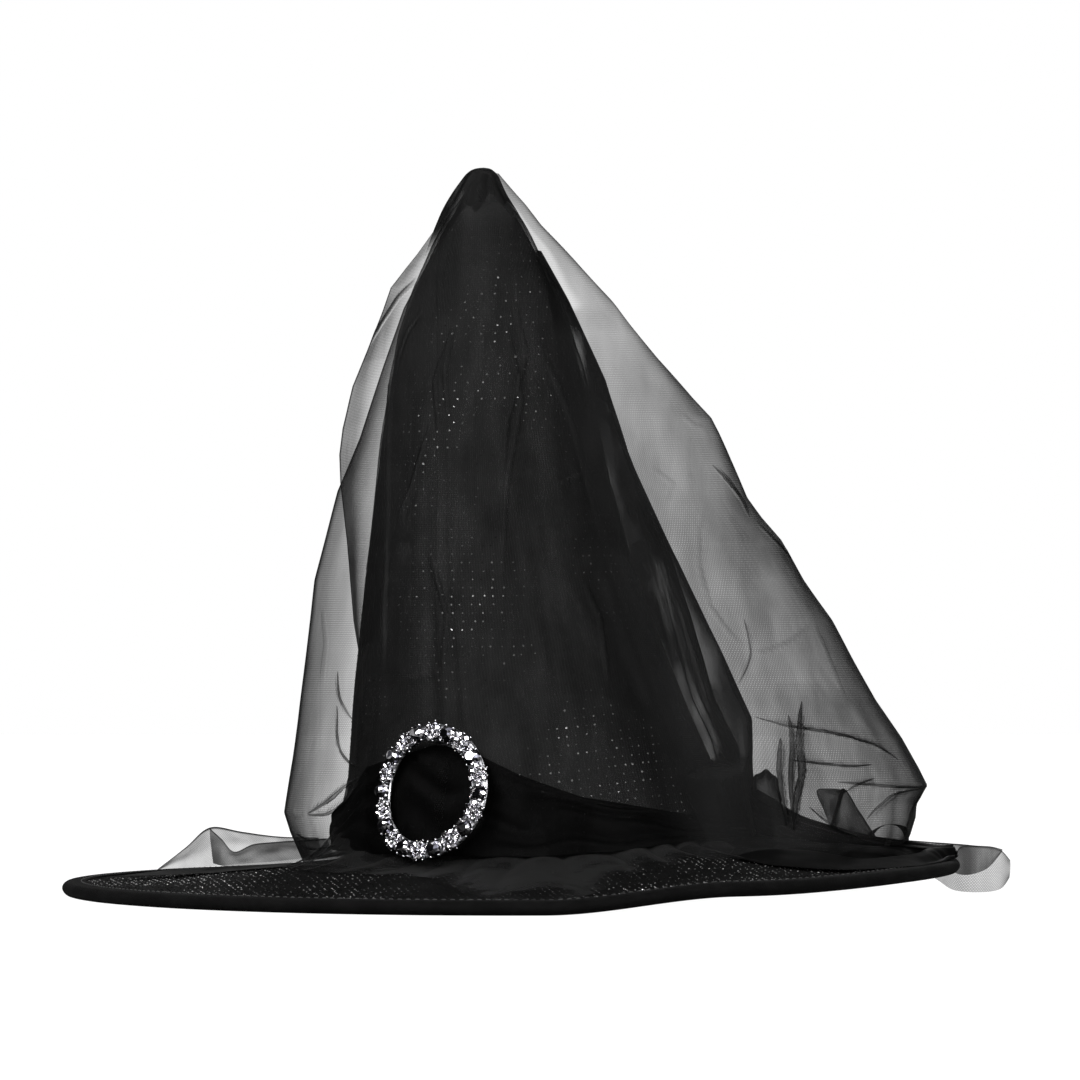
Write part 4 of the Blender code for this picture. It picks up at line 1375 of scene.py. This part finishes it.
def make_tail_end():
    """The tail's end hangs over the brim: one layer of net, folded double along its top."""
    drop = ribbon(
        ((187.5, 3, 9), (187.5, 2, 15), (190, 0, 20.5), (199, -3, 20.8), (207, -3, 19.3), (212, 0, 14.5)),
        ((177, 8, 7.4), (181, 5, 4.6), (187, 0, 1.0), (198, -4, 0.3), (207, -4, 1.7), (211.6, 0, 6.5)),
        sag=2.0,
        wrinkle=0.8,
        gather=0.6,
        hem=3.0,
        seed=3.0,
    )
    over = ribbon(
        ((160, -2, 24), (174, -5, 23), (188, -6, 22), (196, -6, 21.3), (203, -5, 20.8), (208, -4, 19.5)),
        ((168, -10, 17), (181, -9, 12.5), (188, -8, 8.6), (195, -6, 8.6), (202, -5, 11.6), (208, -4, 18.6)),
        sag=1.0,
        wrinkle=0.6,
        gather=0.4,
        hem=4.0,
        seed=6.0,
    )
    swing_tail(add_net("tail_end_drop", drop, (120, 60), NET_SINGLE, ("sash_tail_end",), None, (0.05, 0.03)))
    swing_tail(add_net("tail_end_over", over, (120, 60), NET_GATHERED, (), None, (0.05, 0.03)))


# ---------------------------------------------------------------- the buckle

BUCKLE_Z = 47.3 * MM
BUCKLE_AZIMUTH = radians(242.0)
BUCKLE_TWIST = radians(-9.0)
BUCKLE_LEAN = radians(11.0)
BUCKLE_STANDOFF = 12.8 * MM
RING_INNER = 21.2 * MM
RING_OUTER = 30.8 * MM
RING_MIDDLE = (RING_INNER + RING_OUTER) / 2
BOW_RADIUS = 96.0 * MM
STONE_PAIRS = 10
LARGE_STONE_RADIUS = 3.9 * MM
SMALL_STONE_RADIUS = 1.6 * MM
CLUSTER_RADIUS = 3.1 * MM


def buckle_frame():
    """The buckle's own frame: x across, y up its face, z out of its face."""
    place = crown_point(BUCKLE_AZIMUTH, share_at(BUCKLE_Z, BUCKLE_AZIMUTH), BUCKLE_STANDOFF)
    place.z = BUCKLE_Z
    facing = BUCKLE_AZIMUTH + BUCKLE_TWIST
    out = Vector((cos(facing), sin(facing), 0.0)) * cos(BUCKLE_LEAN)
    out.z = sin(BUCKLE_LEAN)
    across = Vector((0.0, 0.0, 1.0)).cross(out).normalized()
    turn = Matrix((across, out.cross(across), out)).transposed().to_4x4()
    return Matrix.Translation(place) @ turn


def bowed(x, y, z):
    """A point of the flat buckle, moved on to its bow about an axis behind it."""
    angle = x / BOW_RADIUS
    return Vector(((BOW_RADIUS + z) * sin(angle), y, (BOW_RADIUS + z) * cos(angle) - BOW_RADIUS))


def seat_matrix(around, radius, height):
    x, y = radius * cos(around), radius * sin(around)
    face = Matrix.Rotation(x / BOW_RADIUS, 4, "Y")
    return Matrix.Translation(bowed(x, y, height)) @ face @ Matrix.Rotation(around, 4, "Z")


def add_ball(mesh, matrix, radius, stretch=1.0, detail=2):
    size = Matrix.Diagonal((radius, radius, radius * stretch, 1.0))
    bmesh.ops.create_icosphere(mesh, subdivisions=detail, radius=1.0, matrix=matrix @ size)


def add_gem(mesh, matrix, radius, height, sides):
    """A brilliant-cut stone: girdle, two turns of crown facets and a table."""
    turns = ((1.0, 0.0, 0.0), (1.0, 0.22, 0.0), (0.82, 0.62, 0.5), (0.5, 1.0, 0.0))
    loops = []
    for share, level, shift in turns:
        loop = []
        for i in range(sides):
            angle = TURN * (i + shift) / sides
            local = Vector((radius * share * cos(angle), radius * share * sin(angle), height * level))
            loop.append(mesh.verts.new(matrix @ local))
        loops.append(loop)
    foot, girdle, crown, table = loops
    for i in range(sides):
        after = (i + 1) % sides
        mesh.faces.new((foot[i], foot[after], girdle[after], girdle[i]))
        mesh.faces.new((girdle[i], girdle[after], crown[i]))
        mesh.faces.new((girdle[after], crown[after], crown[i]))
        mesh.faces.new((crown[i], table[after], table[i]))
        mesh.faces.new((crown[i], crown[after], table[after]))
    mesh.faces.new(list(reversed(foot)))
    mesh.faces.new(table)


def buckle_piece(name, mesh, finish, nodes=(), smooth_angle=None):
    """A piece of the buckle. Edges blunter than smooth_angle look round, and without it all are sharp."""
    data = mesh_from_bmesh(name, mesh)
    if smooth_angle:
        data.shade_smooth()
        data.set_sharp_from_angle(angle=radians(smooth_angle))
    add_piece(name, data, finish, "buckle", nodes)


def make_ring(place):
    """The cast ring: a dished track between two raised rails."""
    rail, low, edge = 0.7 * MM, 0.8 * MM, 0.4 * MM
    outer, inner = RING_OUTER - 1.3 * MM, RING_INNER + 1.1 * MM
    section = (
        (outer, 0.0),
        (outer, rail),
        (outer - edge, rail + edge),
        (outer - 2.2 * edge, rail),
        (outer - 3 * edge, low),
        (inner + 3 * edge, low),
        (inner + 2.2 * edge, rail),
        (inner + edge, rail + edge),
        (inner, rail),
        (inner, 0.0),
    )
    steps = 180
    mesh = bmesh.new()
    loops = []
    for i in range(steps):
        angle = TURN * i / steps
        loop = [bowed(r * cos(angle), r * sin(angle), z) for r, z in section]
        loops.append([mesh.verts.new(place @ point) for point in loop])
    for i in range(steps):
        here, after = loops[i], loops[(i + 1) % steps]
        for k in range(len(section)):
            up = (k + 1) % len(section)
            mesh.faces.new((here[k], after[k], after[up], here[up]))
    buckle_piece("buckle_setting", mesh, DARK_SILVER, ("buckle_ring",), 30)


def around_seat(radius, count, turn=0.0, height=0.0):
    """Places round a seat, the first at this angle."""
    angles = [turn + TURN * k / count for k in range(count)]
    return [Vector((cos(angle), sin(angle), height)) * radius for angle in angles]


def add_large_stone(gem, claws, seat):
    add_gem(gem, seat, LARGE_STONE_RADIUS, 3.3 * MM, 12)
    for rim in around_seat(LARGE_STONE_RADIUS + 0.1 * MM, 6, TURN / 12):
        add_ball(claws, seat @ Matrix.Translation(rim + Vector((0, 0, 0.2 * MM))), 0.5 * MM, 1.9)


def add_cluster(gem, claws, seat, chance):
    """Small stones in cups: one in the middle, and six round it that lean outwards."""
    lean = chance.uniform(0, TURN)
    ring = [spot * chance.uniform(0.97, 1.1) for spot in around_seat(CLUSTER_RADIUS, 6, lean)]
    for spot in (Vector((0.0, 0.0, 1.0 * MM)), *ring):
        outward = Matrix.Rotation(spot.x * 90, 4, "Y") @ Matrix.Rotation(-spot.y * 90, 4, "X")
        sunk = seat @ Matrix.Translation(spot) @ outward
        add_gem(gem, sunk, SMALL_STONE_RADIUS, 1.7 * MM, 8)
        add_ball(claws, sunk @ Matrix.Translation((0, 0, -0.2 * MM)), SMALL_STONE_RADIUS * 0.98, 0.5)
        for rim in around_seat(SMALL_STONE_RADIUS, 3, lean, 0.25):
            add_ball(claws, sunk @ Matrix.Translation(rim), 0.36 * MM, 1.4, 1)


def make_stones(place):
    """Large stones and clusters of small ones take turns round the ring."""
    chance = Random(4)
    claws = bmesh.new()
    for i in range(STONE_PAIRS):
        name = f"{i + 1:02d}"
        tilt = Matrix.Rotation(chance.gauss(0, 0.07), 4, "X")
        tilt = tilt @ Matrix.Rotation(chance.gauss(0, 0.07), 4, "Y")
        gem = bmesh.new()
        seat = place @ seat_matrix(TURN * i / STONE_PAIRS, RING_MIDDLE, 1.6 * MM) @ tilt
        add_large_stone(gem, claws, seat)
        buckle_piece(f"gem_large_{name}", gem, STONE, (f"stone_large_{name}",))
        gem = bmesh.new()
        seat = place @ seat_matrix(TURN * (i + 0.5) / STONE_PAIRS, RING_MIDDLE, 1.5 * MM)
        add_cluster(gem, claws, seat, chance)
        buckle_piece(f"gem_cluster_{name}", gem, SMALL_STONE, (f"stone_cluster_{name}",))
    buckle_piece("buckle_claws", claws, SILVER, (), 60)


def finish_cad_nodes():
    """The frame's own pieces that keep their shape get their materials."""
    for node, finish in (("brim_edge_wire", WIRE), ("buckle_bar", DARK_SILVER)):
        data = bpy.data.objects[node].data
        data.materials.clear()
        data.materials.append(finish)


# ---------------------------------------------------------------- the studio


def bright_windows(g):
    """What the stones mirror: a dark room with bright patches in front of the hat and above it."""
    direction = g.node("ShaderNodeTexCoord", output="Generated")
    patches = g.noise(direction, 3.2, 1.0)
    cut = g.node("ShaderNodeMapRange", {"Value": patches, 1: 0.53, 2: 0.58, 4: 6.0})
    front = g.node("ShaderNodeMapRange", {"Value": g.split(direction, 2)[1], 1: 0.1, 2: -0.25})
    return g.math("MULTIPLY_ADD", cut, front, 0.03)


def seen_by_ray(g, camera, diffuse, glossy):
    """White to the camera, but dim in reflections and as a light, so that black cloth stays black."""
    strength = diffuse
    for kind, value in (("Is Glossy Ray", glossy), ("Is Camera Ray", camera)):
        ray = g.node("ShaderNodeLightPath", output=kind)
        strength = g.node("ShaderNodeMix", {0: ray, 2: strength, 3: value}, data_type="FLOAT")
    return strength


# Each lamp's place, side and watts. A glint lamp is seen only in what mirrors it.
LAMPS = {
    "key": ((-0.9, -1.3, 1.3), 0.7, 26.0),
    "fill": ((1.4, -1.0, 0.9), 0.8, 10.0),
    "rim": ((0.3, 1.5, 1.1), 0.9, 6.0),
    "front_low": ((-0.2, -1.8, 0.25), 0.4, 4.0),
    "glint_left": ((-0.45, -1.7, 0.6), 0.1, 14.0),
    "glint_right": ((0.6, -1.6, 0.45), 0.1, 12.0),
    "glint_behind": ((0.2, 1.6, 0.7), 0.1, 2.0),
}
LAMPS_AIM = Vector((0.0, 0.0, 0.12))
FLOOR_HALF = 6.0


def look_at(obj, place, aim):
    obj.location = place
    obj.rotation_euler = (aim - Vector(place)).to_track_quat("-Z", "Y").to_euler()
    bpy.context.scene.collection.objects.link(obj)


def make_floor():
    mesh = bmesh.new()
    bmesh.ops.create_grid(mesh, x_segments=1, y_segments=1, size=FLOOR_HALF)
    floor = bpy.data.objects.new("floor", mesh_from_bmesh("floor", mesh))
    floor.location.z = -0.3 * MM
    bpy.context.scene.collection.objects.link(floor)
    g = Cloth("floor_white", 0.9)
    g.set("Base Color", (0.05, 0.05, 0.05, 1.0))
    g.set("Emission Color", (1.0, 1.0, 1.0, 1.0))
    g.set("Emission Strength", seen_by_ray(g, 1.0, 0.06, 0.03))
    floor.data.materials.append(g.material)


def make_lights():
    world = bpy.data.worlds.new("studio")
    bpy.context.scene.world = world
    world.use_nodes = True
    g = Nodes(world.node_tree)
    back = g.tree.nodes["Background"]
    g.feed(back.inputs["Color"], (1.0, 1.0, 1.0, 1.0))
    g.feed(back.inputs["Strength"], seen_by_ray(g, 1.0, 0.08, bright_windows(g)))
    for name, (place, side, watts) in LAMPS.items():
        light = bpy.data.lights.new(name, "AREA")
        light.size = side
        light.energy = watts
        lamp = bpy.data.objects.new(name, light)
        lamp.visible_diffuse = "glint" not in name
        look_at(lamp, place, LAMPS_AIM)


CAMERA_AWAY = 1.974
CAMERA_HEIGHT = 0.0935
CAMERA_AIM = Vector((0.00135, 0.0, 0.158))


def make_camera():
    lens = bpy.data.cameras.new("camera")
    lens.sensor_width = 36.0
    lens.lens = 146.6
    camera = bpy.data.objects.new("camera", lens)
    look_at(camera, (CAMERA_AIM.x, -CAMERA_AWAY, CAMERA_HEIGHT), CAMERA_AIM)
    bpy.context.scene.camera = camera
    bpy.context.scene.view_settings.view_transform = "Standard"


make_floor()
make_lights()
make_camera()
finish_cad_nodes()
make_brim_layers()
make_brim_dots()
make_edge_tape()
make_crown_cloth()
make_crown_dots()
make_interlining()
make_sweatband()
make_panels()
make_right_side()
make_left_side()
make_peak()
make_peak_thread()
make_train()
make_sash()
make_knot()
make_loops()
make_tail_spread()
make_tail_run()
make_tail_end()
buckle_place = buckle_frame()
make_ring(buckle_place)
make_stones(buckle_place)
bpy.context.scene.cycles.transparent_max_bounces = 32
